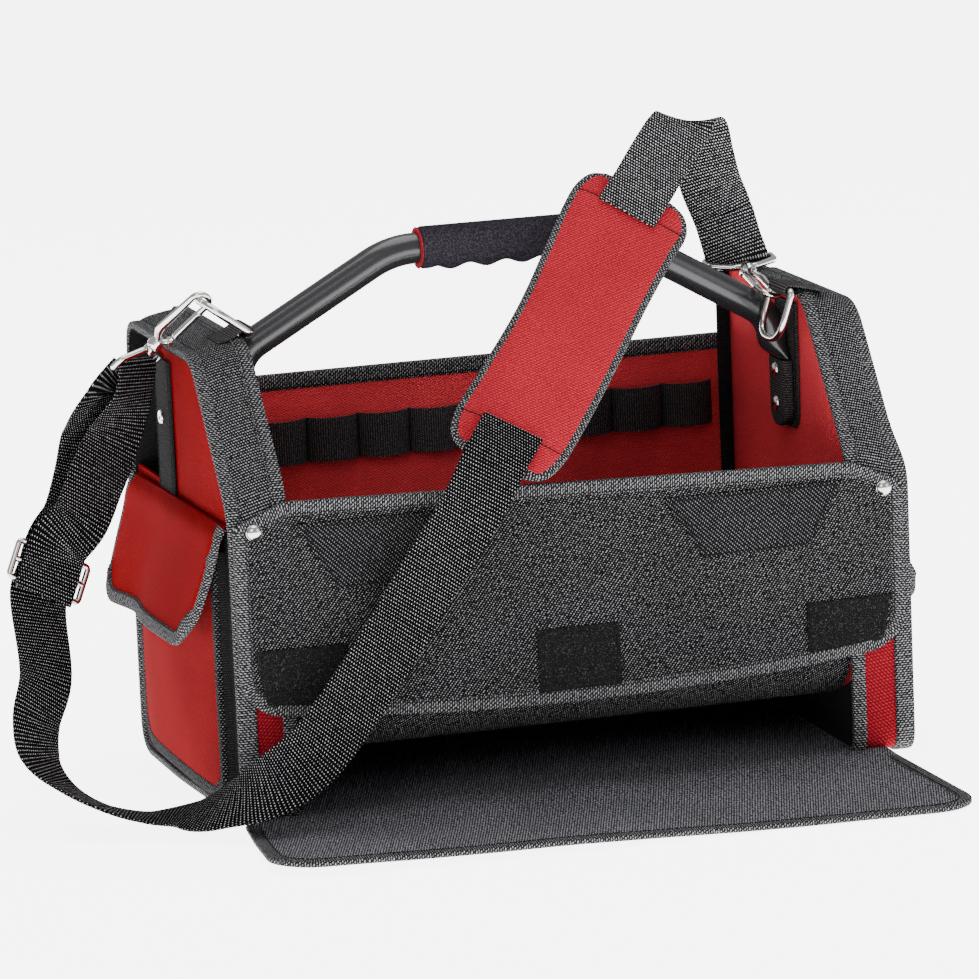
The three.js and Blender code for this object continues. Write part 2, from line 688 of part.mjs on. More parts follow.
function ringShape() {
  const depth = RING_DEPTH;
  const outline = loopPoints([
    [-RING_HALF, 0, 4],
    [RING_HALF, 0, 4],
    [RING_HALF, depth, 16],
    [-RING_HALF, depth, 16],
  ]);
  return wire(outline, Y_AXIS, RING_WIRE, true);
}

const EYE = { side: 9, top: 17, neck: 7, round: 3 };

function eyeShape() {
  const half = STRAP_WIDTH / 2 + EYE_WIRE + 0.5;
  const { side, top, neck, round } = EYE;
  const rightHalf = [[half, 0, round], [half, side, round], [neck, top, round]];
  const leftHalf = [...rightHalf].reverse().map(([x, z, r]) => [-x, z, r]);
  const loop = loopPoints([...rightHalf, ...leftHalf]);
  const boss = new THREE.CylinderGeometry(4, 4, 4, 10).rotateX(Math.PI / 2).translate(0, 0, top + 0.8);
  return fuse(wire(loop, Y_AXIS, EYE_WIRE, true), boss);
}

const HOOK = { half: 6, bossLow: 20.2, bossHigh: 28, spineLow: 35, bend: 66, nose: 59, gateLow: 33.5 };
const GATE_HALF = 1.7;
const HOOK_REACH = HOOK.bend + HOOK.half - HOOK_WIRE - RING_WIRE - 1;

function hookShape() {
  const bend = new THREE.EllipseCurve(0, HOOK.bend, HOOK.half, HOOK.half, Math.PI, 0, true).getPoints(8);
  const spine = [
    vec(0, 0, HOOK.bossHigh - 3),
    vec(-HOOK.half, 0, HOOK.spineLow),
    ...bend.map(({ x, y }) => vec(x, 0, y)),
    vec(HOOK.half, 0, HOOK.nose),
  ];
  const foot = [
    vec(0, 0, HOOK.bossHigh - 3),
    vec(HOOK.half, 0, HOOK.gateLow - 3.5),
    vec(HOOK.half, 0, HOOK.gateLow - GAP),
  ];
  const bossLength = HOOK.bossHigh - HOOK.bossLow;
  const boss = new THREE.CylinderGeometry(4, 5, bossLength, 10)
    .rotateX(Math.PI / 2)
    .translate(0, 0, HOOK.bossLow + bossLength / 2);
  return fuse(wire(spine, Y_AXIS, HOOK_WIRE), wire(foot, Y_AXIS, HOOK_WIRE - 0.4), boss);
}

function gateShape() {
  const half = GATE_HALF;
  const outline = rounded([
    [HOOK.half - half, HOOK.gateLow, half - 0.01],
    [HOOK.half + half, HOOK.gateLow, half - 0.01],
    [HOOK.half + half, HOOK.nose - GAP, 0.6],
    [HOOK.half - half, HOOK.nose - GAP, 0.6],
  ]);
  const depth = 2 * HOOK_WIRE;
  const geometry = new THREE.ExtrudeGeometry(new THREE.Shape(outline), { depth, bevelEnabled: false });
  return geometry.translate(0, 0, -depth / 2).rotateX(Math.PI / 2);
}

// Webbing tab: lies on the rim and wraps the ring's bar
function ringTab(side, { bar, tabLift, tabTurn }) {
  const sign = SIDES[side];
  const turn = RING_WIRE + 0.4 + TRIM / 2;
  const rim = RIM_FLOOR + GAP + TRIM / 2;
  const innerX = HALF_WIDTH - RIM_WIDTH;
  const fall = RIDGE_DROP[side] / RIM_WIDTH;
  const onRim = (along) => [innerX + along, RIDGE_HEIGHT - fall * along + rim + 0.2];
  const route = [
    onRim(16),
    onRim(8),
    [innerX - 1, RIDGE_HEIGHT + rim + tabLift],
    ...range(6).map((share) => {
      const angle = Math.PI * mix(tabTurn, 1.5, share);
      return [Math.abs(bar.x) + turn * Math.cos(angle), bar.z + turn * Math.sin(angle)];
    }),
    [innerX - 1.6, bar.z - turn],
  ];
  const half = TAB_WIDTH / 2;
  return skin(route.map(([x, z], i) => {
    const before = route[Math.max(i - 1, 0)];
    const after = route[Math.min(i + 1, route.length - 1)];
    const lift = new THREE.Vector2(before[1] - after[1], after[0] - before[0]).setLength(TRIM / 2);
    const place = (y, way) => vec(sign * (x + way * lift.x), bar.y + y, z + way * lift.y);
    return { front: [place(-half, 1), place(half, 1)], back: [place(-half, -1), place(half, -1)] };
  }));
}

const eyes = {};
for (const side of Object.keys(SIDES)) {
  const set = HARDWARE[side];
  const lean = set.ringLean.clone().normalize();
  const reach = set.reach.clone().normalize();
  addPiece(`d_ring_${side}`, framed(ringShape(), set.bar, lean, lean.clone().cross(Y_AXIS)), NICKEL());
  addPiece(`d_ring_tab_${side}`, ringTab(side, set), BLACK());
  const held = set.bar.clone().addScaledVector(lean, set.onWire).addScaledVector(Y_AXIS, set.alongWire);
  const eye = held.clone().addScaledVector(reach, -HOOK_REACH);
  const across = set.eyeAcross.clone().addScaledVector(reach, -reach.dot(set.eyeAcross)).normalize();
  eyes[side] = { centre: eye, across };
  addPiece(`hook_body_${side}`, framed(hookShape(), eye, reach, set.throughHook), NICKEL());
  addPiece(`hook_gate_${side}`, framed(gateShape(), eye, reach, set.throughHook), NICKEL());
  addPiece(`swivel_eye_${side}`, framed(eyeShape(), eye, reach, reach.clone().cross(across)), NICKEL());
}

// Shoulder pad, laid over the handle. Columns: place of its middle, half width.
const PAD = [
  { x: 88.5, y: -9, z: 358.5, half: 23 },
  { x: 86, y: -12, z: 355.2, half: 32.5 },
  { x: 80, y: -18, z: 348, half: 38 },
  { x: 69, y: -27, z: 338, half: 38 },
  { x: 42, y: -54, z: 311, half: 36.2 },
  { x: 15, y: -82, z: 284, half: 35.5 },
  { x: -18.5, y: -109.7, z: 251.2, half: 36.5 },
  { x: -42, y: -127, z: 229, half: 36 },
  { x: -50, y: -133.5, z: 221, half: 31 },
  { x: -53, y: -136, z: 218, half: 22 },
];
const PAD_ACROSS = vec(0.805, -0.393, -0.444).normalize();
const PAD_HALF_THICK = 5;

function shoulderPad() {
  return skin(PAD.map((row, i) => {
    const before = PAD[Math.max(i - 1, 0)];
    const after = PAD[Math.min(i + 1, PAD.length - 1)];
    const along = vec(after.x - before.x, after.y - before.y, after.z - before.z).normalize();
    const out = along.clone().cross(PAD_ACROSS).normalize();
    const thin = Math.min(i, PAD.length - 1 - i) === 0 ? 0.5 : 1;
    const place = (share, way) => vec(row.x, row.y, row.z)
      .addScaledVector(PAD_ACROSS, share * row.half)
      .addScaledVector(out, way * PAD_HALF_THICK * thin * (1 - 0.6 * share ** 4));
    const shares = range(4).map((u) => mix(-1, 1, u));
    return { front: shares.map((share) => place(share, 1)), back: shares.map((share) => place(share, -1)) };
  }));
}

addPiece('shoulder_pad', shoulderPad(), RED());

// Flat webbing through rows of a place and the direction of its width
function ribbon(rows, steps) {
  const route = new THREE.CatmullRomCurve3(rows.map(({ at }) => at), false, 'centripetal');
  const spans = rows.length - 1;
  const stations = range(spans * steps).map((share) => {
    const span = Math.min(Math.floor(share * spans + 1e-9), spans - 1);
    const across = rows[span].across.clone().lerp(rows[span + 1].across, share * spans - span);
    const along = route.getTangent(share);
    across.addScaledVector(along, -along.dot(across)).normalize();
    return { centre: route.getPoint(share), across, out: along.clone().cross(across) };
  });
  const place = ({ centre, across, out }, way, lift) => centre.clone()
    .addScaledVector(across, (way * STRAP_WIDTH) / 2)
    .addScaledVector(out, (lift * CLOTH) / 2);
  return skin(stations.map((station) => ({
    front: [place(station, -1, 1), place(station, 1, 1)],
    back: [place(station, -1, -1), place(station, 1, -1)],
  })));
}

const strapRow = (x, y, z, wx, wy, wz) => ({ at: vec(x, y, z), across: vec(wx, wy, wz).normalize() });

// Rows that wrap the bar of an eye, from one side of the bar to the other
function wrapRows({ centre, across }, up, tail, side) {
  const square = up.clone().addScaledVector(across, -across.dot(up)).normalize();
  const out = across.clone().cross(square);
  const turn = EYE_WIRE + 0.9 + CLOTH / 2;
  const row = (alongUp, alongOut) => ({
    at: centre.clone().addScaledVector(square, alongUp).addScaledVector(out, alongOut),
    across,
  });
  return [
    row(-tail, -side * turn),
    ...range(4).map((share) => {
      const angle = mix(Math.PI, 0, share);
      return row(turn * Math.sin(angle), side * turn * Math.cos(angle));
    }),
    row(-tail, side * turn),
  ];
}

// Long part: from the pad's lower slot over the floor, behind the slider, round the left eye and back
const STRAP_LOW = [
  strapRow(-38, -128, 238, -0.8, 0.39, 0.44),
  strapRow(-54, -143, 223, -0.82, 0.3, 0.45),
  strapRow(-75, -148, 190, -0.86, 0.1, 0.48),
  strapRow(-102, -149, 154, -0.88, 0.05, 0.46),
  strapRow(-128, -151, 117, -0.88, 0.05, 0.46),
  strapRow(-164, -158, 74, -0.8, 0.1, 0.58),
  strapRow(-184, -160, 53, -0.55, 0.2, 0.8),
  strapRow(-206, -156, 37, 0.0, 0.35, 0.93),
  strapRow(-231, -138, 20, 0.3, 0.75, 0.55),
  strapRow(-253, -110, 9.5, 0.4, 0.85, 0.25),
  strapRow(-277, -98, 9, 0.3, 0.95, 0.02),
  strapRow(-300, -88, 14, 0.32, 0.93, -0.18),
  strapRow(-319, -70, 28.5, 0.6, 0.72, -0.3),
  strapRow(-330, -59, 45.5, 0.76, 0.53, -0.33),
  strapRow(-331, -49, 65, 0.82, 0.52, -0.2),
  strapRow(-324.5, -34, 90, 0.88, 0.42, -0.17),
];
const SLIDER = {
  centre: vec(-308, -2, 150),
  up: vec(0.42, 0.3, 0.85),
  across: vec(0.94, 0.15, -0.3),
  wire: 2,
  half: 25,
  rise: 12,
};

const sliderUp = SLIDER.up.clone().normalize();
const sliderSlant = sliderUp.dot(SLIDER.across);
const sliderAcross = SLIDER.across.clone().addScaledVector(sliderUp, -sliderSlant).normalize();
const sliderOut = sliderAcross.clone().cross(sliderUp);
const layerStep = SLIDER.wire + 0.5 + CLOTH / 2;
const sliderRow = (rise, way) => ({
  at: SLIDER.centre.clone().addScaledVector(sliderUp, rise).addScaledVector(sliderOut, way * layerStep),
  across: sliderAcross,
});

const leftUp = HARDWARE.left.strapUp.clone().normalize();
const strapLong = [
  ...STRAP_LOW,
  sliderRow(-17, -1),
  sliderRow(0, -1),
  sliderRow(17, -1),
  strapRow(-293, 17, 176, 0.95, 0.24, -0.2),
  strapRow(-283, 29, 203, 0.95, 0.26, -0.2),
  strapRow(-273, 33, 229, 0.92, 0.32, -0.2),
  ...wrapRows(eyes.left, leftUp, 16, 1),
  strapRow(-256, 19, 228, 0.92, 0.3, -0.26),
  strapRow(-271, 11, 203, 0.95, 0.24, -0.18),
  strapRow(-285, 4, 179, 0.95, 0.22, -0.2),
  sliderRow(17, 1),
  sliderRow(0, 1),
  sliderRow(-17, 1),
];
addPiece('strap_long', ribbon(strapLong, 2), BLACK());

// Short part: from the pad's upper slot over its peak and down to the right eye, where its end is sewn back
const rightUp = HARDWARE.right.strapUp.clone().normalize();
const STRAP_SHORT = [
  strapRow(74, -27, 349, 0.8, -0.39, -0.45),
  strapRow(90, -14, 362.5, 0.82, -0.36, -0.44),
  strapRow(106.5, 1, 377, 0.9, -0.22, -0.36),
  strapRow(123, 14, 391, 0.93, -0.2, -0.28),
  strapRow(133, 23, 395.5, 0.95, -0.2, -0.2),
  strapRow(142, 31, 389.5, 0.95, -0.22, -0.16),
  strapRow(151, 39, 371.5, 0.95, -0.15, -0.02),
  strapRow(159.5, 46, 352, 0.95, 0.05, 0.06),
];
const strapShort = [...STRAP_SHORT, ...wrapRows(eyes.right, rightUp, 30, -1)];
addPiece('strap_short', ribbon(strapShort, 2), BLACK());

// Slider: a wire frame with a middle bar, held between the two layers of the strap
function sliderShape() {
  const { half, rise, wire: radius } = SLIDER;
  const outline = loopPoints([[-half, -rise, 3], [half, -rise, 3], [half, rise, 3], [-half, rise, 3]]);
  const frame = wire(outline, Y_AXIS, radius, true);
  const bar = wire([vec(-half, 0, 0), vec(half, 0, 0)], Y_AXIS, radius);
  return fuse(frame, bar);
}

const slider = framed(sliderShape(), SLIDER.centre, sliderUp, sliderUp.clone().cross(sliderAcross));
addPiece('strap_slider', slider, NICKEL());

export default bag;
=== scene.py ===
import math

import bmesh
import bpy
import numpy as np
from mathutils import Matrix, Vector


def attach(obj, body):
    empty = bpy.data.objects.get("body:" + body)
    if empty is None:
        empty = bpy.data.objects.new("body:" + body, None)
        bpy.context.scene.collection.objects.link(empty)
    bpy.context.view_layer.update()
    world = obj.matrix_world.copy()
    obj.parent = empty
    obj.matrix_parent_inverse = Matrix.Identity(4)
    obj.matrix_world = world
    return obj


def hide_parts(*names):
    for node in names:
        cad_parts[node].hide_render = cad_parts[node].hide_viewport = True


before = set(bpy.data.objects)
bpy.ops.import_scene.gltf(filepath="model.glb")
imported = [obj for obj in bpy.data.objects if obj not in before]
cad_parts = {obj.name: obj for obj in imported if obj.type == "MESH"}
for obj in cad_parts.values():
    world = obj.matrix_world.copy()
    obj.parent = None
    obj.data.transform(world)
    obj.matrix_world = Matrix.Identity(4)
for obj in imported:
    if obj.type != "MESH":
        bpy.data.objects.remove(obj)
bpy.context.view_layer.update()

# Lengths are in millimetres up to the point where a mesh is made.
# X runs along the bag, Y from front to back and Z up.
MM = 0.001
SIDES = {"left": -1.0, "right": 1.0}
X_AXIS = np.array([1.0, 0.0, 0.0])
Y_AXIS = np.array([0.0, 1.0, 0.0])
Z_AXIS = np.array([0.0, 0.0, 1.0])

# Driving dimensions, the same as those of the solids
HALF_WIDTH = 220.0
HALF_DEPTH = 119.0
RIDGE_HEIGHT = 291.0
FRONT_TOP = {"left": 207.0, "right": 194.0}
BACK_TOP = 239.0
SHOULDER_Y = -45.0
RIM_WIDTH = 36.0
RIM_DROP = 10.0
RIDGE_DROP = {"left": 7.0, "right": 10.0}
TRAY_TOP = 36.0
GAP = 0.3
WALL = 3.0
CLOTH = 2.0
TRIM = 1.4
RIM_FLOOR = GAP + TRIM
INNER_HALF = HALF_WIDTH - RIM_WIDTH - 1
BINDING_WIDTH = 9.0
END_RIDGE = 3.5
PANEL_X = HALF_WIDTH - RIM_WIDTH + 6
PANEL_SHARE = 0.27
COVER_X = HALF_WIDTH - 4
COVER_FRONT_TOP_Y = 53.0
COVER_LOW_TOP = 190.0
STRIP = {"width": 38.0, "thick": 1.8, "low": 160.0, "high": 272.0}
TUBE_RADIUS = 10.0
GRIP_RADIUS = 14.0
GRIP_HALF = 57.0
HANDLE_TOP = 333.7
HANDLE_BEND_X = {"left": 75.0, "right": 69.0}
LEG_X = 179.0
LEG_BEND_Z = {"left": 276.0, "right": 269.4}
LEG_END_Z = 200.0
BEND_REACH = 16.0
RIVET_HEIGHTS = {"upper": 233.0, "lower": 211.0}
STRAP_WIDTH = 40.0
WIRE = 2.2
RING_HALF = 18.5
RING_DEPTH = 33.0
TAB_WIDTH = 29.0


# Small vector helpers
def unit(v):
    return v / np.maximum(np.linalg.norm(v, axis=-1, keepdims=True), 1e-9)


def mix(a, b, t):
    return a + (b - a) * t


def smooth(value, low, high):
    t = np.clip((value - low) / (high - low), 0, 1)
    return t * t * (3 - 2 * t)


def vec(*values):
    return np.array(values, float)


def points_at(x, y, z):
    """Points from three coordinates, each of them one number or an array"""
    return np.stack(np.broadcast_arrays(x, y, z), -1).astype(float)


def circle(count):
    """Cosines and sines of angles evenly round a circle"""
    angle = np.linspace(0, 2 * math.pi, count, endpoint=False)
    return np.cos(angle), np.sin(angle)


def bend(start, corner, end, steps=12):
    """A round turn from start to end that leans on corner"""
    s = np.linspace(0, 1, steps + 1)[:, None]
    return (1 - s) ** 2 * start + 2 * s * (1 - s) * corner + s * s * end


def tangents(path, loop=False):
    if loop:
        return unit(np.roll(path, -1, 0) - np.roll(path, 1, 0))
    return unit(np.gradient(path, axis=0))


def resample(path, step, loop=False):
    """Points about one step apart along a path"""
    points = np.vstack([path, path[:1]]) if loop else np.asarray(path, float)
    lengths = np.r_[0, np.cumsum(np.linalg.norm(np.diff(points, axis=0), axis=1))]
    count = max(int(round(lengths[-1] / step)), 2)
    marks = np.linspace(0, lengths[-1], count + 1)
    if loop:
        marks = marks[:-1]
    return np.stack([np.interp(marks, lengths, points[:, k]) for k in range(points.shape[1])], 1)


def rounded(corners, steps=8, edge_steps=1):
    """A closed outline through corners, each given by two coordinates and a radius"""
    arcs = []
    for i, corner in enumerate(corners):
        here = vec(*corner[:2])
        before = unit(vec(*corners[i - 1][:2]) - here)
        after = unit(vec(*corners[(i + 1) % len(corners)][:2]) - here)
        reach = corner[2] / math.tan(math.acos(before @ after) / 2)
        arcs.append(bend(here + before * reach, here, here + after * reach, steps))
    points = []
    for i, arc in enumerate(arcs):
        following = arcs[(i + 1) % len(arcs)][0]
        edge = np.linspace(arc[-1], following, edge_steps + 1)[1:-1]
        points.append(np.vstack([arc, edge]))
    return np.vstack(points)


def inset(points, distance):
    """Moves a closed anticlockwise outline inwards"""
    def inwards(start, end):
        step = end - start
        return unit(np.stack([-step[:, 1], step[:, 0]], 1))
    before = inwards(np.roll(points, 1, 0), points)
    after = inwards(points, np.roll(points, -1, 0))
    mitre = before + after
    return points + mitre * (distance / np.sum(mitre * before, 1))[:, None]


def catmull(points, shares):
    """Places along a centripetal curve through points, by share of its spans"""
    points = np.asarray(points, float)
    last = len(points) - 1
    padded = np.vstack([2 * points[0] - points[1], points, 2 * points[-1] - points[-2]])
    out = []
    for share in shares:
        span = min(int(share * last + 1e-9), last - 1)
        t = share * last - span
        p0, p1, p2, p3 = padded[span:span + 4]
        pairs = ((p0, p1), (p1, p2), (p2, p3))
        d0, d1, d2 = (max(np.linalg.norm(b - a), 1e-6) ** 0.5 for a, b in pairs)
        t1 = ((p1 - p0) / d0 - (p2 - p0) / (d0 + d1) + (p2 - p1) / d1) * d1
        t2 = ((p2 - p1) / d1 - (p3 - p1) / (d1 + d2) + (p3 - p2) / d2) * d1
        c2 = -3 * p1 + 3 * p2 - 2 * t1 - t2
        c3 = 2 * p1 - 2 * p2 + t1 + t2
        out.append(p1 + t1 * t + c2 * t * t + c3 * t ** 3)
    return np.array(out)


# Materials
UV_NAME = "weave"
FLECK_SCALE = 620.0
MOTTLE = {"scale": 14.0, "low": 0.88, "high": 1.1}
# Depths of the bumps, in metres
WEAVE_DEPTH = 0.0006
PILE_DEPTH = 0.0008
COAT_DEPTH = 0.0002


def add_node(tree, kind, inputs=None, **settings):
    node = tree.nodes.new(kind)
    for key, value in settings.items():
        setattr(node, key, value)
    for key, value in (inputs or {}).items():
        if isinstance(value, bpy.types.NodeSocket):
            tree.links.new(value, node.inputs[key])
        else:
            node.inputs[key].default_value = value
    return node


def start_material(name, roughness, metallic=0.0, specular=0.02):
    material = bpy.data.materials.new(name)
    material.use_nodes = True
    tree = material.node_tree
    shader = tree.nodes["Principled BSDF"]
    shader.inputs["Roughness"].default_value = roughness
    shader.inputs["Metallic"].default_value = metallic
    shader.inputs["Specular IOR Level"].default_value = specular
    return material, tree, shader


def colour(value):
    """A grey level or a colour in linear light, as a shader takes it"""
    r, g, b = (value, value, value) if np.isscalar(value) else value
    return (r, g, b, 1.0)


def object_noise(tree, scale, detail, roughness=0.5):
    """Noise over the object's own space"""
    place = add_node(tree, "ShaderNodeTexCoord").outputs["Object"]
    inputs = {"Vector": place, "Scale": scale, "Detail": detail, "Roughness": roughness}
    return add_node(tree, "ShaderNodeTexNoise", inputs).outputs["Fac"]


def mottled(tree, source):
    """Multiplies a colour by slow noise over the object"""
    noise = object_noise(tree, MOTTLE["scale"], 3.0)
    limits = {0: noise, 1: 0.3, 2: 0.7, 3: MOTTLE["low"], 4: MOTTLE["high"]}
    span = add_node(tree, "ShaderNodeMapRange", limits)
    product = add_node(tree, "ShaderNodeVectorMath", {0: source, 1: span.outputs[0]}, operation="MULTIPLY")
    return product.outputs[0]


def ramp(tree, value, dark, light, low, high):
    """A colour that goes from dark to light as a value goes from low to high"""
    limits = {0: value, 1: low, 2: high}
    share = add_node(tree, "ShaderNodeMapRange", limits, interpolation_type="SMOOTHSTEP")
    shade = add_node(tree, "ShaderNodeValToRGB", {"Fac": share.outputs[0]})
    shade.color_ramp.elements[0].color = colour(dark)
    shade.color_ramp.elements[1].color = colour(light)
    return shade.outputs["Color"]


def add_bump(tree, shader, height, strength, distance):
    bump = add_node(tree, "ShaderNodeBump", {"Strength": strength, "Distance": distance, "Height": height})
    tree.links.new(bump.outputs[0], shader.inputs["Normal"])


def woven(name, light, dark, rows, dots, angle=0.0, flecks=0.5, level=(0.0, 0.8), lift=0.5, rough=0.9):
    """Woven cloth: rows of light dots on a dark ground, uneven by flecks.
    rows is the pitch from row to row and dots the pitch along a row, in millimetres. angle turns the rows.
    level is the heights of the weave where the dark ends and where the full light begins."""
    material, tree, shader = start_material(name, rough)
    place = add_node(tree, "ShaderNodeUVMap", uv_map=UV_NAME).outputs[0]
    c, s = math.cos(math.radians(angle)), math.sin(math.radians(angle))
    across = 2 * math.pi / (rows * MM)
    along = 2 * math.pi / (dots * MM)
    row_step = (-s * across, c * across, 0.0)
    dot_step = (c * along - s * across / 2, s * along + c * across / 2, 0.0)

    def add_share(value, share, total):
        inputs = {0: value, 1: share, 2: total}
        return add_node(tree, "ShaderNodeMath", inputs, operation="MULTIPLY_ADD").outputs[0]
    weave = 0.0
    for step, share in ((row_step, 0.6), (dot_step, 0.4)):
        phase = add_node(tree, "ShaderNodeVectorMath", {0: place, 1: step}, operation="DOT_PRODUCT")
        wave = add_node(tree, "ShaderNodeMath", {0: phase.outputs["Value"]}, operation="COSINE")
        weave = add_share(wave.outputs[0], share, weave)
    noise = add_node(tree, "ShaderNodeTexNoise", {"Vector": place, "Scale": FLECK_SCALE, "Detail": 1.0})
    spread = 6 * flecks
    uneven = add_share(noise.outputs["Fac"], spread, weave)
    shade = ramp(tree, uneven, dark, light, level[0] + spread / 2, level[1] + spread / 2)
    tree.links.new(mottled(tree, shade), shader.inputs["Base Color"])
    add_bump(tree, shader, weave, lift, WEAVE_DEPTH)
    return material


def speckled(name, dark, light, scale, low, high, lift):
    """Rough dark surface with fine light specks"""
    material, tree, shader = start_material(name, 0.95)
    noise = object_noise(tree, scale, 2.0, 0.7)
    tree.links.new(ramp(tree, noise, dark, light, low, high), shader.inputs["Base Color"])
    add_bump(tree, shader, noise, lift, PILE_DEPTH)
    return material


def coated(name, base, rough, metallic, scale, lift, specular=0.5):
    """Metal or paint with a slightly uneven gloss"""
    material, tree, shader = start_material(name, rough, metallic, specular)
    noise = object_noise(tree, scale, 4.0)
    gloss = add_node(tree, "ShaderNodeMapRange", {0: noise, 3: rough * 0.8, 4: rough * 1.3})
    tree.links.new(gloss.outputs[0], shader.inputs["Roughness"])
    shader.inputs["Base Color"].default_value = colour(base)
    add_bump(tree, shader, noise, lift, COAT_DEPTH)
    return material


# Cloth: name, light and dark colour, pitch of rows and of dots, angle, flecks, level, lift
RED = woven("red_weave", (0.215, 0.004, 0.006), (0.12, 0.002, 0.003), 1.5, 1.9, 20, 0.3)
RED_INNER = woven("red_inner", (0.77, 0.065, 0.08), (0.52, 0.038, 0.05), 1.5, 1.9, 20, 0.3)
RED_BOLD = woven("red_basket", (0.31, 0.016, 0.024), (0.12, 0.004, 0.008), 2.0, 2.6, 45, 0.2)
RED_PAD = woven("red_pad", (0.45, 0.030, 0.044), (0.24, 0.010, 0.017), 1.7, 2.3, 0, 0.25)
GREY = woven("grey_melange", (0.22, 0.218, 0.23), 0.005, 1.8, 1.5, 50, 0.35, (0.4, 1.0))
GREY_DARK = woven("grey_flap", (0.46, 0.46, 0.50), (0.024, 0.024, 0.028), 1.9, 1.8, -45, 0.4, (0.25, 0.95))
TWILL = woven("grey_twill", (0.165, 0.165, 0.18), 0.005, 2.1, 1.6, -45, 0.2, (0.4, 1.0))
RIB = woven("binding_rib", (0.28, 0.28, 0.295), 0.010, 1.5, 2.6, 0, 0.35, (0.1, 0.95))
# Darker copy of the binding for the pocket's edge: painted shade, the binding there lying in shadow
RIB_DARK = woven("shaded_pocket_rib", (0.16, 0.16, 0.17), 0.004, 1.5, 2.6, 0, 0.3, (0.35, 1.0))
BAND = woven("rim_webbing_rib", (0.27, 0.27, 0.285), 0.006, 1.9, 1.7, 0, 0.25, (0.2, 0.95))
# Lighter copy of the black webbing: painted light, the top light that falls on the short strap over the
# handle
WEBBING_LIT = woven("top_lit_webbing_rib", (0.62, 0.62, 0.65), 0.008, 2.2, 1.8, 0, 0.2, (0.4, 1.0), 0.7)
WEBBING = woven("black_webbing_rib", (0.42, 0.42, 0.44), 0.0025, 2.2, 1.8, 0, 0.12, (0.6, 1.0), 0.7)
# Black tape, made lighter: light painted in for the tool loops that lie in shade. BLACK below is a darker
# copy of it: painted shade for the strips, gussets and linings that the lamps light.
TAPE = woven("black_tape", (0.10, 0.088, 0.092), 0.014, 1.6, 1.2, 0, 0.3)
BLACK = woven("shaded_black_tape", (0.03, 0.029, 0.031), 0.008, 1.6, 1.2, 0, 0.3)
# Piles: name, dark and light colour, scale, where the noise starts and ends to count, lift
HOOKS = speckled("hook_tape_pile", 0.006, 0.10, 1300.0, 0.54, 0.8, 0.9)
FOAM = speckled("foam_cells", (0.013, 0.011, 0.015), (0.040, 0.035, 0.045), 900.0, 0.42, 0.68, 0.5)
# Coats: name, colour, roughness, metallic, scale, lift, specular
THREAD = coated("thread", 0.006, 0.8, 0.0, 900.0, 0.3, 0.12)
PAINT = coated("dark_powder_coat", (0.013, 0.013, 0.015), 0.24, 0.0, 500.0, 0.1, 0.5)
NICKEL = coated("polished_nickel", (0.58, 0.57, 0.55), 0.13, 1.0, 160.0, 0.05)
SLOT_MATERIALS = {
    "red_fabric": (RED, RED_INNER, RED_BOLD, RED_PAD),
    "grey_fabric": (GREY, GREY_DARK, TWILL, RIB, RIB_DARK, BAND),
    "black_webbing": (WEBBING, WEBBING_LIT, TAPE, BLACK, THREAD),
    "hook_tape": (HOOKS,), "foam": (FOAM,), "dark_paint": (PAINT,), "nickel": (NICKEL,),
}
SLOTS = {material: slot for slot, group in SLOT_MATERIALS.items() for material in group}


# Meshes
def make_piece(name, points, faces, uvs, material, nodes=(), body="bag", sharp=45.0):
    """An object from points in millimetres, faces, and one texture place per face corner"""
    mesh = bpy.data.meshes.new(name)
    mesh.from_pydata((np.asarray(points) * MM).tolist(), [], faces)
    layer = mesh.uv_layers.new(name=UV_NAME)
    layer.data.foreach_set("uv", (np.asarray(uvs, float).reshape(-1) * MM).tolist())
    work = bmesh.new()
    work.from_mesh(mesh)
    bmesh.ops.remove_doubles(work, verts=work.verts, dist=1e-7)
    bmesh.ops.dissolve_degenerate(work, edges=work.edges, dist=1e-8)
    bmesh.ops.recalc_face_normals(work, faces=work.faces)
    work.to_mesh(mesh)
    work.free()
    mesh.polygons.foreach_set("use_smooth", [True] * len(mesh.polygons))
    mesh.set_sharp_from_angle(angle=math.radians(sharp))
    mesh.materials.append(material)
    piece = bpy.data.objects.new(name, mesh)
    bpy.context.collection.objects.link(piece)
    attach(piece, body)
    if nodes:
        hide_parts(*nodes)
    return piece


def skin_data(sections, loop=False, flat=None):
    """Points, faces and texture places of a tube of closed sections.
    Places run round and along it by length, or lie on the two axes of space that flat names."""
    sections = np.asarray(sections, float)
    count, ring = sections.shape[:2]
    spans = count if loop else count - 1
    closed = np.concatenate([sections, sections[:, :1]], 1)
    around = np.linalg.norm(np.diff(closed, axis=1), axis=2).mean(0)
    around = np.r_[0, np.cumsum(around)]
    middle = sections.mean(1)
    steps = np.linalg.norm(np.diff(np.vstack([middle, middle[:1]]), axis=0), axis=1)
    along = np.r_[0, np.cumsum(steps)]
    faces, uvs = [], []
    for i in range(spans):
        here, there = i * ring, ((i + 1) % count) * ring
        for k in range(ring):
            after = (k + 1) % ring
            corners = (here + k, there + k, there + after, here + after)
            faces.append(corners)
            if flat is None:
                uvs += [(around[k], along[i]), (around[k], along[i + 1]),
                        (around[k + 1], along[i + 1]), (around[k + 1], along[i])]
    points = sections.reshape(-1, 3)
    if not loop:
        end = (count - 1) * ring
        for base in (0, end):
            face = tuple(base + k for k in range(ring))
            faces.append(face)
            if flat is None:
                uvs += [(points[c][0], points[c][2]) for c in face]
    if flat is not None:
        for face in faces:
            uvs += [(points[c][flat[0]], points[c][flat[1]]) for c in face]
    return points, faces, uvs


def skin(name, sections, material, nodes=(), loop=False, flat=None, body="bag", sharp=45.0):
    return make_piece(name, *skin_data(sections, loop, flat), material, nodes, body, sharp)


def two_faced(front, back):
    """Closed sections from rows of points along a front, and in the same order along a back"""
    return np.concatenate([front, back[:, ::-1]], 1)


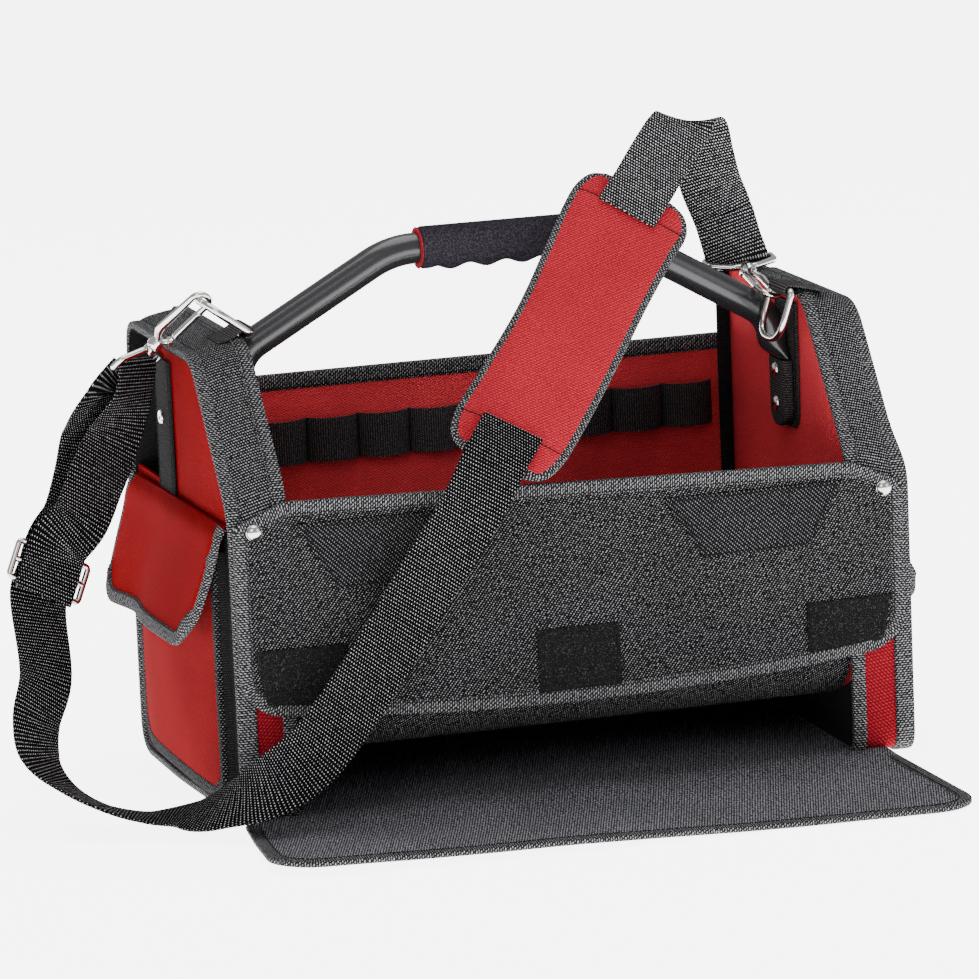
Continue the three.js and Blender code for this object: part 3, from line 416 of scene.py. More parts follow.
def superellipse(width, thick, count=18, power=4.0):
    """A flat round-edged profile"""
    angle = np.linspace(0, 2 * math.pi, count, endpoint=False) + math.pi / count
    c, s = np.cos(angle), np.sin(angle)
    return np.stack([
        np.sign(c) * np.abs(c) ** (2 / power) * width / 2,
        np.sign(s) * np.abs(s) ** (2 / power) * thick / 2,
    ], 1)


def sweep_sections(path, across, up, profile):
    """A profile carried along a path. across and up are one direction, or one for each point."""
    across, up = (np.broadcast_to(way, path.shape)[:, None] for way in (across, up))
    return path[:, None] + across * profile[None, :, :1] + up * profile[None, :, 1:]


def edging(name, path, normal, inward, material=RIB, nodes=(), loop=False,
           width=BINDING_WIDTH, thick=4.6, over=1.0):
    """Binding tape folded over an edge"""
    profile = superellipse(width, thick, 18, 5.0)
    centre = path + inward * (width / 2 - over)
    skin(name, sweep_sections(centre, inward, normal, profile), material, nodes, loop)


def inward_from(path, normal, middle, loop=False):
    """The direction in the sheet, square to its edge, towards its middle"""
    inward = unit(np.cross(normal, tangents(path, loop)))
    turn = np.sign(np.sum(inward * (middle - path), 1).sum())
    return inward * turn


def tube_sections(path, normal, radius, sides=14, loop=False, wide=1.0):
    """A round wire, or one that is wide times as far across in the plane of its path"""
    along = tangents(path, loop)
    across = np.broadcast_to(unit(normal), path.shape)
    up = unit(np.cross(across, along)) * np.broadcast_to(wide, len(path))[:, None]
    profile = np.stack(circle(sides), 1)
    radius = np.broadcast_to(radius, len(path))
    return path[:, None] + radius[:, None, None] * (
        across[:, None] * profile[None, :, :1] + up[:, None] * profile[None, :, 1:])


def lathe_sections(profile, origin, axis, across, sides=28):
    """Rings from radius and height pairs about an axis"""
    axis, across = unit(axis), unit(across)
    third = np.cross(axis, across)
    c, s = circle(sides)
    ring = c[:, None] * across + s[:, None] * third
    return np.stack([origin + axis * h + ring * r for r, h in profile])


def join_data(*parts):
    """Several meshes as one"""
    points, faces, uvs = [], [], []
    base = 0
    for part_points, part_faces, part_uvs in parts:
        points.append(part_points)
        faces += [tuple(base + c for c in face) for face in part_faces]
        uvs += list(part_uvs)
        base += len(part_points)
    return np.vstack(points), faces, uvs


PLATE_RINGS = (1.0, 0.985, 0.94, 0.86, 0.74, 0.6, 0.44, 0.26, 0.1, 0.0)


def plate_sections(outline, place, middle=None):
    """A sheet inside an outline that is seen whole from its middle. place takes points, share and layer."""
    middle = outline.mean(0) if middle is None else middle
    front = [place(middle + (outline - middle) * s, s, 1) for s in reversed(PLATE_RINGS)]
    back = [place(middle + (outline - middle) * s, s, 0) for s in PLATE_RINGS]
    return np.array(front + back)


# Stitches
stitch_groups = {}
STITCH_PITCH = 2.8
STITCH_LENGTH = 2.5
STITCH_RADIUS = 0.34
# Columns: place along the stitch as a share of its length, thickness as a share of the full one
STITCH_SHAPE = ((-0.5, 0.35), (-0.32, 1.0), (0.32, 1.0), (0.5, 0.35))
STITCH_ARCH = 0.35


def stitch(group, path, normal, loop=False):
    """A row of stitches along a path"""
    both = resample(np.hstack([path, np.broadcast_to(normal, path.shape)]), STITCH_PITCH, loop)
    places, ups = both[:, :3], unit(both[:, 3:])
    along = tangents(places, loop)
    side = unit(np.cross(ups, along))
    c, s = circle(5)
    for place, t, n, b in zip(places, along, ups, side):
        ring = c[:, None] * b + s[:, None] * n
        rows = []
        for share, size in STITCH_SHAPE:
            arch = n * STITCH_RADIUS * STITCH_ARCH * (size - STITCH_SHAPE[0][1])
            centre = place + t * STITCH_LENGTH * share + arch
            rows.append(centre + STITCH_RADIUS * size * ring)
        stitch_groups.setdefault(group, []).append(skin_data(np.array(rows)))


def finish_stitches():
    for group, rows in stitch_groups.items():
        make_piece(f"stitches_{group}", *join_data(*rows), THREAD)


# Camera at the photograph's angle: angles in degrees, place in metres, lens and sensor in millimetres
CAMERA = {
    "turn": -16.91, "tilt": -11.18, "roll": 2.40, "place": (-1.1511, -3.7329, 0.9445),
    "lens": 228.3, "sensor": 36.0, "sight": 100.0,
}


def add_camera():
    turn = Matrix.Rotation(math.radians(CAMERA["turn"]), 3, "Z")
    tilt = Matrix.Rotation(math.radians(CAMERA["tilt"]), 3, "X")
    roll = Matrix.Rotation(math.radians(CAMERA["roll"]), 3, "Y")
    view = turn @ tilt @ roll
    right, forward, up = view.col[0], view.col[1], view.col[2]
    camera = bpy.data.objects.new("camera", bpy.data.cameras.new("camera"))
    bpy.context.collection.objects.link(camera)
    world = Matrix((right, up, -forward)).transposed().to_4x4()
    world.translation = Vector(CAMERA["place"])
    camera.matrix_world = world
    camera.data.lens = CAMERA["lens"]
    camera.data.sensor_width = CAMERA["sensor"]
    camera.data.clip_end = CAMERA["sight"]
    bpy.context.scene.camera = camera


add_camera()


# End walls: a rim with webbing and bindings, an inner panel and an outer cover
CORNER_STEPS = 8
EDGE_STEPS = 22
OUTLINE_BLOCK = CORNER_STEPS + EDGE_STEPS
# The stretch of an end's outline from the foot of the back over the ridge to the front corner
RIM_SPAN = slice(OUTLINE_BLOCK + CORNER_STEPS, 4 * OUTLINE_BLOCK + CORNER_STEPS + 1)
RIM_EDGE_THICK = 5.2
# Heights over which the outer binding stops standing out, and depths at the left over which it starts to
RIDGE_FADE_Z = (180.0, 215.0)
RIDGE_FADE_Y = (-60.0, 40.0)
END_SEED = {"left": 1.0, "right": 2.3}
EYELET = {"back": 4.0, "height": 234.0}
EYELET_RING = [(1.8, 0), (4.2, 0), (4.6, 0.6), (4.0, 1.5), (2.4, 1.5), (1.8, 0.6)]
RIVET_RADIUS = 4.8


def rim_x(side, t):
    return SIDES[side] * (HALF_WIDTH - RIM_WIDTH * (1 - t))


def end_outline(side, t):
    ridge = RIDGE_HEIGHT - RIDGE_DROP[side] * t
    front = FRONT_TOP[side] - RIM_DROP * t
    return rounded([
        (-HALF_DEPTH, RIM_FLOOR, 14),
        (HALF_DEPTH, RIM_FLOOR, 22),
        (HALF_DEPTH, ridge, 18),
        (SHOULDER_Y, ridge, 34),
        (-HALF_DEPTH, front, 40),
    ], CORNER_STEPS, EDGE_STEPS)


def on_end(x, flat_points):
    """Points in the plane of an end, from Y and Z"""
    return points_at(x, flat_points[:, 0], flat_points[:, 1])


def rim_rows(side, shares, lifts):
    """Rows across the rim. Each entry of lifts is the height over the rim at that share of the width."""
    steps = zip(shares, lifts)
    return np.stack([on_end(rim_x(side, t), inset(end_outline(side, t), -lift)) for t, lift in steps], 1)


def ripple(a, b, size, seed):
    """Slow unevenness of cloth"""
    broad = np.sin(a / 31 + seed) * np.cos(b / 43 + 2 * seed)
    return size * (broad + 0.6 * np.sin(a / 17 - b / 23 + 3 * seed))


def build_rim(side):
    out = SIDES[side] * X_AXIS
    upper = rim_rows(side, (0, 0.25, 0.5, 0.75, 1), (0,) * 5)
    lower = rim_rows(side, (0, 0.5, 1), (-WALL,) * 3)
    skin(f"rim_cloth_{side}", two_faced(upper, lower), RED_BOLD, [f"end_rim_{side}"], loop=True)

    # Bindings along both edges of the rim
    for name, t, inner, ridge in (("inner", 0.0, 1.0, 0.0), ("outer", 1.0, -1.0, END_RIDGE)):
        outline = end_outline(side, t)
        path = on_end(rim_x(side, t), outline)
        normal = unit(on_end(0, inset(outline, -1) - outline))
        inward = out * inner
        standing = ridge * (1 - smooth(path[:, 2:], *RIDGE_FADE_Z))
        if side == "left":
            standing = standing * smooth(path[:, 1:2], *RIDGE_FADE_Y)
        edging(
            f"rim_edge_{name}_{side}", path - normal * 0.7 - inward * standing, normal, inward,
            nodes=[f"rim_binding_{name}_{side}"], loop=True,
            thick=RIM_EDGE_THICK, width=BINDING_WIDTH + ridge,
        )
        seam = path + normal * 1.7 + inward * (BINDING_WIDTH - 2.2)
        stitch("rims", seam[RIM_SPAN], normal[RIM_SPAN])

    # Webbing between the bindings, from the foot of the back to the front corner
    share = np.linspace(BINDING_WIDTH / RIM_WIDTH - 0.06, 1.06 - BINDING_WIDTH / RIM_WIDTH, 9)
    crown = RIM_FLOOR + 0.5 - 1.1 * np.abs(np.linspace(-1, 1, 9)) ** 4
    upper, lower = rim_rows(side, share, crown), rim_rows(side, share[::4], (0.1,) * 3)
    skin(f"rim_band_{side}", two_faced(upper, lower)[RIM_SPAN], BAND, [f"rim_webbing_{side}"])


def build_end_panel(side):
    sign = SIDES[side]
    outline = inset(end_outline(side, PANEL_SHARE), WALL + GAP)

    def panel_place(points, s, layer):
        wave = ripple(points[:, 0], points[:, 1], 0.7, END_SEED[side]) * (1 - s ** 3)
        return on_end(sign * (PANEL_X + 0.6 + WALL * layer + wave), points)
    panel = plate_sections(outline, panel_place)
    skin(f"end_lining_{side}", panel, RED_INNER, [f"end_panel_{side}"], flat=(1, 2))

    # Black lining of the sleeve between the panel and the cover. The black bands under the rim, from its
    # middle to its outer edge and inside its inner edge, are painted shade: black laid over red rim cloth
    # that lies in shadow.
    def lining_place(points, s, layer):
        return panel_place(points, s, 1) + (0.3 + 0.6 * layer) * sign * X_AXIS
    skin(f"sleeve_back_{side}", plate_sections(outline, lining_place), BLACK, flat=(1, 2))
    deep, deeper = (-WALL - 0.2,) * 3, (-WALL - 0.9,) * 3
    for name, shares in (("sleeve_shade_band", (0.38, 0.6, 1.0)), ("rim_edge_shade_band", (0.02, 0.1, 0.17))):
        band = two_faced(rim_rows(side, shares, deep), rim_rows(side, shares, deeper))
        skin(f"{name}_{side}", band, BLACK, loop=True)


def build_cover(side):
    """Outer cover of an end, whole below and only in front above"""
    sign = SIDES[side]
    out = sign * X_AXIS
    whole = inset(end_outline(side, 1), WALL + GAP)
    low_back = vec(HALF_DEPTH - WALL - GAP, COVER_LOW_TOP)
    high_back = vec(COVER_FRONT_TOP_Y, RIDGE_HEIGHT - RIDGE_DROP[side] - WALL - GAP)
    keep = (whole[:, 1] < COVER_LOW_TOP) | (whole[:, 0] < COVER_FRONT_TOP_Y)
    start = int(np.argmax(~keep))
    step = vec(COVER_FRONT_TOP_Y, COVER_LOW_TOP)
    notch = np.vstack([low_back, np.linspace(low_back, step, 10)[1:], np.linspace(step, high_back, 14)[1:]])
    cover = np.vstack([whole[:start][keep[:start]], notch, whole[start:][keep[start:]]])

    def cover_place(points, s, layer):
        wave = ripple(points[:, 0], points[:, 1], 0.7, END_SEED[side] + 1) * (1 - s ** 3)
        return on_end(sign * (COVER_X + CLOTH * layer + wave), points)
    sections = plate_sections(cover, cover_place, middle=vec(0, 110))
    skin(f"end_shell_{side}", sections, RED, [f"end_cover_{side}"], flat=(1, 2))

    # Webbing strip on the upper cover, with its stitches and an eyelet
    y_middle = COVER_FRONT_TOP_Y - STRIP["width"] / 2
    path = points_at(sign * (COVER_X + CLOTH + 1.2), y_middle, np.linspace(STRIP["low"], STRIP["high"], 24))
    profile = superellipse(STRIP["width"], STRIP["thick"], 24, 8.0)
    skin(f"cover_webbing_{side}", sweep_sections(path, Y_AXIS, out, profile), BLACK, [f"cover_strip_{side}"])
    for y in (-STRIP["width"] / 2 + 3, STRIP["width"] / 2 - 3):
        stitch("ends", path + Y_AXIS * y + out, out)
    seat = vec(sign * (COVER_X + CLOTH + 2), y_middle + EYELET["back"], EYELET["height"])
    skin(f"cover_eyelet_{side}", lathe_sections(EYELET_RING, seat, out, Y_AXIS, 24), NICKEL, loop=True)


def add_rivet(name, origin, axis, height, node):
    """A dome on a thin rim"""
    side = np.cross(axis, vec(0.3, 0.5, 0.81))
    angles = np.linspace(0, math.pi / 2, 9)
    dome = [(RIVET_RADIUS * math.cos(a), height * (0.18 + 0.82 * math.sin(a))) for a in angles]
    rim = RIVET_RADIUS * 1.06
    profile = [(0, 0), (rim, 0), (rim, height * 0.14), *dome]
    skin(name, lathe_sections(profile, origin, axis, side), NICKEL, [node], sharp=60)


# End pockets
POCKET = {"half": 100.0, "floor": 8.0, "top": 172.0, "depth": 9.0, "bulge": 5.0}
# Black strip down the pocket's front seam, partly gusset and partly painted shade: width, thickness, place in
# front of the face and reach above the top
POCKET_SHADE_STRIP = {"width": 17.0, "thick": 1.0, "from_face": 9.0, "past_top": 12.0}
POCKET_EDGE = {"width": 7.5, "thick": 3.6, "over": 3.0}
# The points of the gusset's outline that leave its top open
POCKET_OPEN = slice(4, 77)
POCKET_BACK = COVER_X + CLOTH + GAP
# Columns: half width, reach outwards and height at the left end, reach and height at the right end
POCKET_FLAP = np.array([
    (112, 1.7, 187.5, 1.7, 187.5), (111.5, 8, 181, 6, 180), (110.5, 12.5, 165, 7.5, 159),
    (109, 18, 148, 10, 137), (106, 24, 130, 13, 114), (102, 30, 111, 17, 91),
])
POCKET_FLAP_COLUMNS = {"left": [0, 1, 2], "right": [0, 3, 4]}
POCKET_FLAP_SET = {"left": {"dent": 6.0, "pull": 2.5}, "right": {"dent": 1.0, "pull": 5.0}}
POCKET_FLAP_SIZE = {"edge": 102.0, "round": 24.0, "length": 86.0, "tilt": 2.4}
POCKET_FLAP_DENT = {"at": 0.38, "spread": 0.3}


def build_pocket(side):
    sign = SIDES[side]
    out = sign * X_AXIS
    half, low, top = POCKET["half"], POCKET["floor"], POCKET["top"]

    # Black gusset round three sides, and a black strip along its front seam that is partly the gusset and
    # partly painted shade, darkening the cover between the gusset and the rim's binding where shadow falls
    outer = half + CLOTH
    path = rounded([(-outer, top, 0.5), (-outer, low, 14), (outer, low, 14), (outer, top, 0.5)], 8, 16)
    path = path[POCKET_OPEN]
    inner = np.column_stack([
        path[:, 0] - np.sign(path[:, 0]) * CLOTH,
        path[:, 1] + CLOTH * (top - path[:, 1]) / (top - low),
    ])
    planes = (POCKET_BACK, POCKET_BACK + 2, POCKET_BACK + POCKET["depth"] - CLOTH)
    front, back = (np.stack([on_end(sign * x, line) for x in planes], 1) for line in (path, inner))
    skin(f"pocket_side_{side}", two_faced(front, back), BLACK, [f"pocket_gusset_{side}"])
    heights = np.linspace(low, top + POCKET_SHADE_STRIP["past_top"], 20)
    tape = points_at(sign * (POCKET_BACK + 0.5), -half - POCKET_SHADE_STRIP["from_face"], heights)
    profile = superellipse(POCKET_SHADE_STRIP["width"], POCKET_SHADE_STRIP["thick"], 12, 6)
    skin(f"pocket_shade_strip_{side}", sweep_sections(tape, Y_AXIS, X_AXIS, profile), BLACK)

    # Face that bulges outwards
    across = np.linspace(-half, half, 37)
    low_edge = low + 8 + 10 * smooth(np.abs(across), half - 16, half)

    def face(y, z, lift):
        along = 1 - (y / half) ** 2
        upright = np.sin(math.pi * mix(0.12, 1.0, (z - low) / (top - low)))
        drawn_in = 2 * smooth(y, 60, half)
        x = POCKET_BACK + POCKET["depth"] - CLOTH + POCKET["bulge"] * along * upright + lift - drawn_in
        return points_at(sign * (x + 0.25 * ripple(y, z, 1.0, 4.0)), y, z)
    y, v = np.meshgrid(across, np.linspace(0, 1, 26), indexing="ij")
    z = mix(low_edge[:, None], top, v)
    skin(
        f"pocket_front_{side}", two_faced(face(y, z, CLOTH), face(y, z, 0)), RED,
        [f"pocket_face_{side}"], flat=(1, 2),
    )
    rim_y = np.r_[np.full(20, -half), across[1:-1], np.full(20, half)]
    rim_z = np.r_[np.linspace(top, low_edge[0], 20), low_edge[1:-1], np.linspace(low_edge[-1], top, 20)]
    edge = face(rim_y, rim_z, CLOTH / 2)
    inward = inward_from(edge, out, vec(sign * POCKET_BACK, 0, 100))
    # The pocket's binding takes the darker copy: painted shade
    edging(f"pocket_edge_{side}", edge, out, inward, RIB_DARK, **POCKET_EDGE)
    edging(f"pocket_hem_{side}", face(across, top, CLOTH / 2), out, -Z_AXIS, thick=2.4)


def build_pocket_flap(side):
    """Flap that hangs from its seam on the cover"""
    sign = SIDES[side]
    out = sign * X_AXIS
    columns = POCKET_FLAP[:, POCKET_FLAP_COLUMNS[side]]
    shape, size = POCKET_FLAP_SET[side], POCKET_FLAP_SIZE

    def flap(across, v, lift):
        corner = np.maximum(np.abs(across) * size["edge"] - size["edge"] + size["round"], 0)
        cut = size["round"] - np.sqrt(np.maximum(size["round"] ** 2 - corner ** 2, 0))
        down = v * (1 - cut / size["length"])
        row = catmull(columns, down.ravel()).reshape(*down.shape, 3)
        dent = np.exp(-((across - POCKET_FLAP_DENT["at"]) / POCKET_FLAP_DENT["spread"]) ** 2)
        pressed = shape["dent"] * down * dent
        gathered = shape["pull"] * smooth(np.abs(across), 0.92, 1) * smooth(down, 0, 0.2)
        x = POCKET_BACK + row[..., 1] - pressed - gathered + lift
        return points_at(sign * x, across * row[..., 0], row[..., 2] - size["tilt"] * across)
    shares = np.sin(np.linspace(-math.pi / 2, math.pi / 2, 61))
    grid = np.meshgrid(shares, np.linspace(0, 1, 31), indexing="ij")
    front, back = flap(*grid, CLOTH), flap(*grid, 0.2)
    piece = skin(f"pocket_cover_{side}", two_faced(front, back), RED, [f"pocket_flap_{side}"], flat=(1, 2))
    surface = flap(*grid, CLOTH / 2)
    normals = unit(np.cross(*np.gradient(surface, axis=(0, 1))))
    normals *= np.sign(np.sum(normals * out))
    both = np.concatenate([surface, normals], -1)
    around = resample(np.vstack([both[0, 2:], both[1:, -1], both[-1, -2:1:-1]]), 3.0)
    edge, normal = around[:, :3], unit(around[:, 3:])
    inward = inward_from(edge, normal, surface[30, 12])
    edging(f"pocket_cover_edge_{side}", edge, normal, inward)
    stitch("pockets", edge + inward * (BINDING_WIDTH - 2) + normal * 2.2, normal)


# Base, back, floor of the main compartment and tool loops
BACK_FACE = HALF_DEPTH - WALL
BACK_INNER = BACK_FACE - GAP
BODY_X = np.linspace(-INNER_HALF, INNER_HALF, 60)
BASE_FRONT = -HALF_DEPTH - RIM_FLOOR
BASE_THICK = 4.0
FLOOR_RADIUS = 42.0
BACK_EDGE = {"width": 11.0, "thick": 6.4}
CORNER_TAPE = {"width": 9.0, "thick": 2.4}
LOOPS = {"count": 10, "pitch": 35.0, "bulge": 11.0, "low": 181.0, "high": 210.0}


def build_base():
    middle = vec((BACK_INNER + BASE_FRONT) / 2, BASE_THICK / 2)
    outline = superellipse(BACK_INNER - BASE_FRONT, BASE_THICK, 36, 14.0) + middle
    base = np.stack([on_end(x, outline) for x in BODY_X])
    skin("base_board", base, GREY_DARK, ["base_panel"], flat=(0, 1))


def build_back():
    grid_x, grid_z = np.meshgrid(BODY_X, np.linspace(0, BACK_TOP, 48), indexing="ij")
    fade = smooth(INNER_HALF - np.abs(grid_x), 0, 25) * smooth(BACK_TOP - grid_z, 0, 30)
    wave = ripple(grid_x, grid_z, 0.8, 5.0) * (fade * smooth(grid_z, 0, 30))
    front = points_at(grid_x, BACK_FACE + wave, grid_z)
    back = points_at(grid_x, HALF_DEPTH + wave, grid_z)
    skin("back_wall", two_faced(front, back), RED_INNER, ["back_panel"], flat=(0, 2))
    skin("back_outer", two_faced(back + vec(0, 0.1, 0), back + vec(0, 0.8, 0)), RED, flat=(0, 2))
    path = points_at(BODY_X, (BACK_FACE + HALF_DEPTH) / 2, BACK_TOP)
    edging("back_edge", path, Y_AXIS, -Z_AXIS, nodes=["back_binding"], **BACK_EDGE)
    for y, way in ((BACK_FACE - 2, -1), (HALF_DEPTH + 2, 1)):
        stitch("body", points_at(BODY_X, y, BACK_TOP - 8), way * Y_AXIS)


def build_linings():
    """Black tapes in the inner corners at the back, and black lining at the ends of the tray slot"""
    heights = np.linspace(TRAY_TOP + 4, RIDGE_HEIGHT - 8, 40)
    depths = np.linspace(-HALF_DEPTH + 2, BACK_FACE - 1, 60)
    past = np.clip(-HALF_DEPTH + GAP + FLOOR_RADIUS - depths, 0, FLOOR_RADIUS)
    ceiling = TRAY_TOP + WALL + FLOOR_RADIUS - np.sqrt(FLOOR_RADIUS ** 2 - past ** 2)
    profile = superellipse(CORNER_TAPE["width"], CORNER_TAPE["thick"], 16, 4)
    for side, sign in SIDES.items():
        tape = points_at(sign * (INNER_HALF + 2.5), BACK_FACE - 1.5, heights)
        skin(f"corner_tape_{side}", sweep_sections(tape, X_AXIS, Y_AXIS, profile), BLACK)
        inner, outer = sign * (PANEL_X - 1.4), sign * (PANEL_X - 0.4)
        corners = ((inner, RIM_FLOOR), (inner, ceiling), (outer, ceiling), (outer, RIM_FLOOR))
        skin(f"slot_lining_{side}", np.stack([points_at(x, depths, z) for x, z in corners], 1), BLACK)


def build_floor():
    """Floor of the main compartment, which curves up behind the front"""
    front_y = -HALF_DEPTH + GAP
    top = FRONT_TOP["right"] - RIM_DROP
    angle = np.linspace(1.5 * math.pi, math.pi, 17)
    centre = vec(front_y + FLOOR_RADIUS, TRAY_TOP + FLOOR_RADIUS)

    def route(radius, level, wall):
        flat_part = np.column_stack([np.linspace(BACK_FACE - 2 * GAP, centre[0], 20), np.full(20, level)])
        arc = centre + radius * np.column_stack([np.cos(angle), np.sin(angle)])
        rise = np.column_stack([np.full(16, wall), np.linspace(centre[1], top, 16)])
        return np.vstack([flat_part, arc[1:-1], rise])
    lower = route(FLOOR_RADIUS, TRAY_TOP, front_y)
    upper = route(FLOOR_RADIUS - WALL, TRAY_TOP + WALL, front_y + WALL)
    outline = np.vstack([lower, upper[::-1]])
    skin("inner_floor", np.stack([on_end(x, outline) for x in BODY_X]), GREY, ["compartment_floor"])


def build_loops():
    """One band sewn to the back between the tool loops"""
    half = LOOPS["count"] * LOOPS["pitch"] / 2
    local = 0.5 - 0.5 * np.cos(np.linspace(0, math.pi, 15))
    u = np.unique(np.r_[[(i + local) / LOOPS["count"] for i in range(LOOPS["count"])]].round(6))
    x = mix(-half, half, u)
    bulge = LOOPS["bulge"] * np.sqrt(np.abs(np.sin(math.pi * u * LOOPS["count"])))
    z = np.linspace(LOOPS["low"], LOOPS["high"], 7)
    x, z = np.meshgrid(x, z, indexing="ij")
    y = BACK_INNER - bulge[:, None]
    band = two_faced(points_at(x, y - TRIM, z), points_at(x, y, z))
    skin("loop_band", band, TAPE, ["tool_loops"], sharp=60)
    heights = np.linspace(LOOPS["low"] + 2, LOOPS["high"] - 2, 12)
    for i in range(LOOPS["count"] + 1):
        stitch("body", points_at(-half + i * LOOPS["pitch"], BACK_INNER - TRIM - 0.4, heights), -Y_AXIS)


# Front panel with its binding, patches and rivets
FRONT = {
    "half": 218.0, "clip_from": 186.0, "clip": 14.0, "drop": 3.0,
    "low": 61.5, "sag": 12.0, "round": 24.0, "bulge": 9.0,
}
FRONT_FACE = -HALF_DEPTH - RIM_FLOOR - GAP
# Columns: ends of the bottom edge, ends of the top edge, bottom and top heights, material
PATCHES = {
    "hook_patch_left": ((-203, -152), (-209, -152), 84, 112, HOOKS),
    "hook_patch_middle": ((-29, 25), (-29, 25), 75, 108, HOOKS),
    "hook_patch_right": ((151, 203), (151, 209), 82, 106, HOOKS),
    "twill_patch_left": ((-154, -84), (-179, -59), 146, 189, TWILL),
    "twill_patch_right": ((84, 154), (59, 179), 142, 182, TWILL),
}
FRONT_RIVET = {"from_end": 12.0, "from_top": 8.0, "height": 3.8}


def front_top(x):
    slope = mix(FRONT_TOP["left"], FRONT_TOP["right"], x / (2 * FRONT["half"]) + 0.5) - FRONT["drop"]
    past = np.maximum(np.abs(x) - FRONT["clip_from"], 0)
    return slope - FRONT["clip"] * past / (FRONT["half"] - FRONT["clip_from"])


def front_low(x):
    past = np.maximum(np.abs(x) - (FRONT["half"] - FRONT["round"]), 0)
    arc = FRONT["round"] - np.sqrt(np.maximum(FRONT["round"] ** 2 - past ** 2, 0))
    return FRONT["low"] + FRONT["sag"] * (x / FRONT["half"]) ** 2 + arc


def front_face(x, z, lift):
    along = np.maximum(1 - (x / FRONT["half"]) ** 2, 0)
    down = 1 - smooth(z, FRONT["low"], FRONT_TOP["left"])
    wave = ripple(x, z, 0.5, 6.0) * along
    return points_at(x, FRONT_FACE - FRONT["bulge"] * along * down - lift + wave, z)


def build_front():
    ends = FRONT["half"] - FRONT["round"] + FRONT["round"] * np.sin(np.linspace(0, math.pi / 2, 13))
    xs = np.r_[-ends[::-1], np.linspace(-ends[0], ends[0], 70)[1:-1], ends]
    x, v = np.meshgrid(xs, np.linspace(0, 1, 30), indexing="ij")
    z = mix(front_low(x), front_top(x), v)
    sections = two_faced(front_face(x, z, CLOTH), front_face(x, z, 0))
    skin("front_cloth", sections, GREY, ["front_panel"], flat=(0, 2))

    outline = np.column_stack([np.r_[xs, xs[::-1]], np.r_[front_low(xs), front_top(xs[::-1])]])
    outline = resample(outline, 3.0, loop=True)
    edge = front_face(outline[:, 0], outline[:, 1], CLOTH / 2)
    inward = inward_from(edge, -Y_AXIS, vec(0, FRONT_FACE, 130), loop=True)
    edging("front_edge", edge, -Y_AXIS, inward, nodes=["front_panel_binding"], loop=True, thick=4.8)
    stitch("front", edge + inward * (BINDING_WIDTH - 2.4) - Y_AXIS * 2.4, -Y_AXIS, loop=True)

    for name, (low_x, high_x, low, high, material) in PATCHES.items():
        u, v = np.meshgrid(np.linspace(0, 1, 17), np.linspace(0, 1, 13), indexing="ij")
        x = mix(mix(*low_x, u), mix(*high_x, u), v)
        foot = low if material is TWILL else front_low(mix(*low_x, u)) + BINDING_WIDTH / 2
        z = mix(foot, high, v)
        front, back = front_face(x, z, CLOTH + 1.3), front_face(x, z, CLOTH - 0.2)
        skin(f"{name}_cloth", two_faced(front, back), material, [name], flat=(0, 2))
        u, v = resample(np.array([(0.03, 0.05), (0.97, 0.05), (0.97, 0.95), (0.03, 0.95)]), 0.02, loop=True).T
        x = mix(mix(*low_x, u), mix(*high_x, u), v)
        stitch("front", front_face(x, mix(low, high, v), CLOTH + 1.5), -Y_AXIS, loop=True)

    for side, sign in SIDES.items():
        x = sign * (FRONT["half"] - FRONT_RIVET["from_end"])
        z = front_top(x) - FRONT_RIVET["from_top"]
        seat = front_face(x, z, CLOTH + TRIM)
        add_rivet(f"front_dome_{side}", seat, -Y_AXIS, FRONT_RIVET["height"], f"front_rivet_{side}")


# Front flap, folded down on the floor
FLAP = {
    "left": -219.0, "right": 206.0, "left_front": -235.0, "right_front": 209.0,
    "left_depth": 126.0, "right_depth": 156.0, "round": 30.0,
}
FLAP_HINGE = BASE_FRONT - GAP
FLAP_RISE = 5.0
FLAP_BOW = 3.0


def flap_place(u, v, lift):
    """A place on the flap: u from its left end to its right, v from the hinge to the free edge"""
    from_end = np.minimum(u, 1 - u) * (FLAP["right"] - FLAP["left"])
    corner = np.maximum(FLAP["round"] - from_end, 0)
    cut = FLAP["round"] - np.sqrt(FLAP["round"] ** 2 - corner ** 2)
    depth = mix(FLAP["left_depth"], FLAP["right_depth"], u) - cut
    along = v * depth / FLAP["left_depth"]
    hinge, front = mix(FLAP["left"], FLAP["right"], u), mix(FLAP["left_front"], FLAP["right_front"], u)
    rise = FLAP_RISE * (1 - smooth(u, 0, 0.35)) * smooth(along, 0.2, 1)
    rise = rise + FLAP_BOW * np.sin(math.pi * np.minimum(u / 0.75, 1)) ** 2 * smooth(v, 0.4, 1)
    return points_at(mix(hinge, front, along), FLAP_HINGE - v * depth, rise + lift)


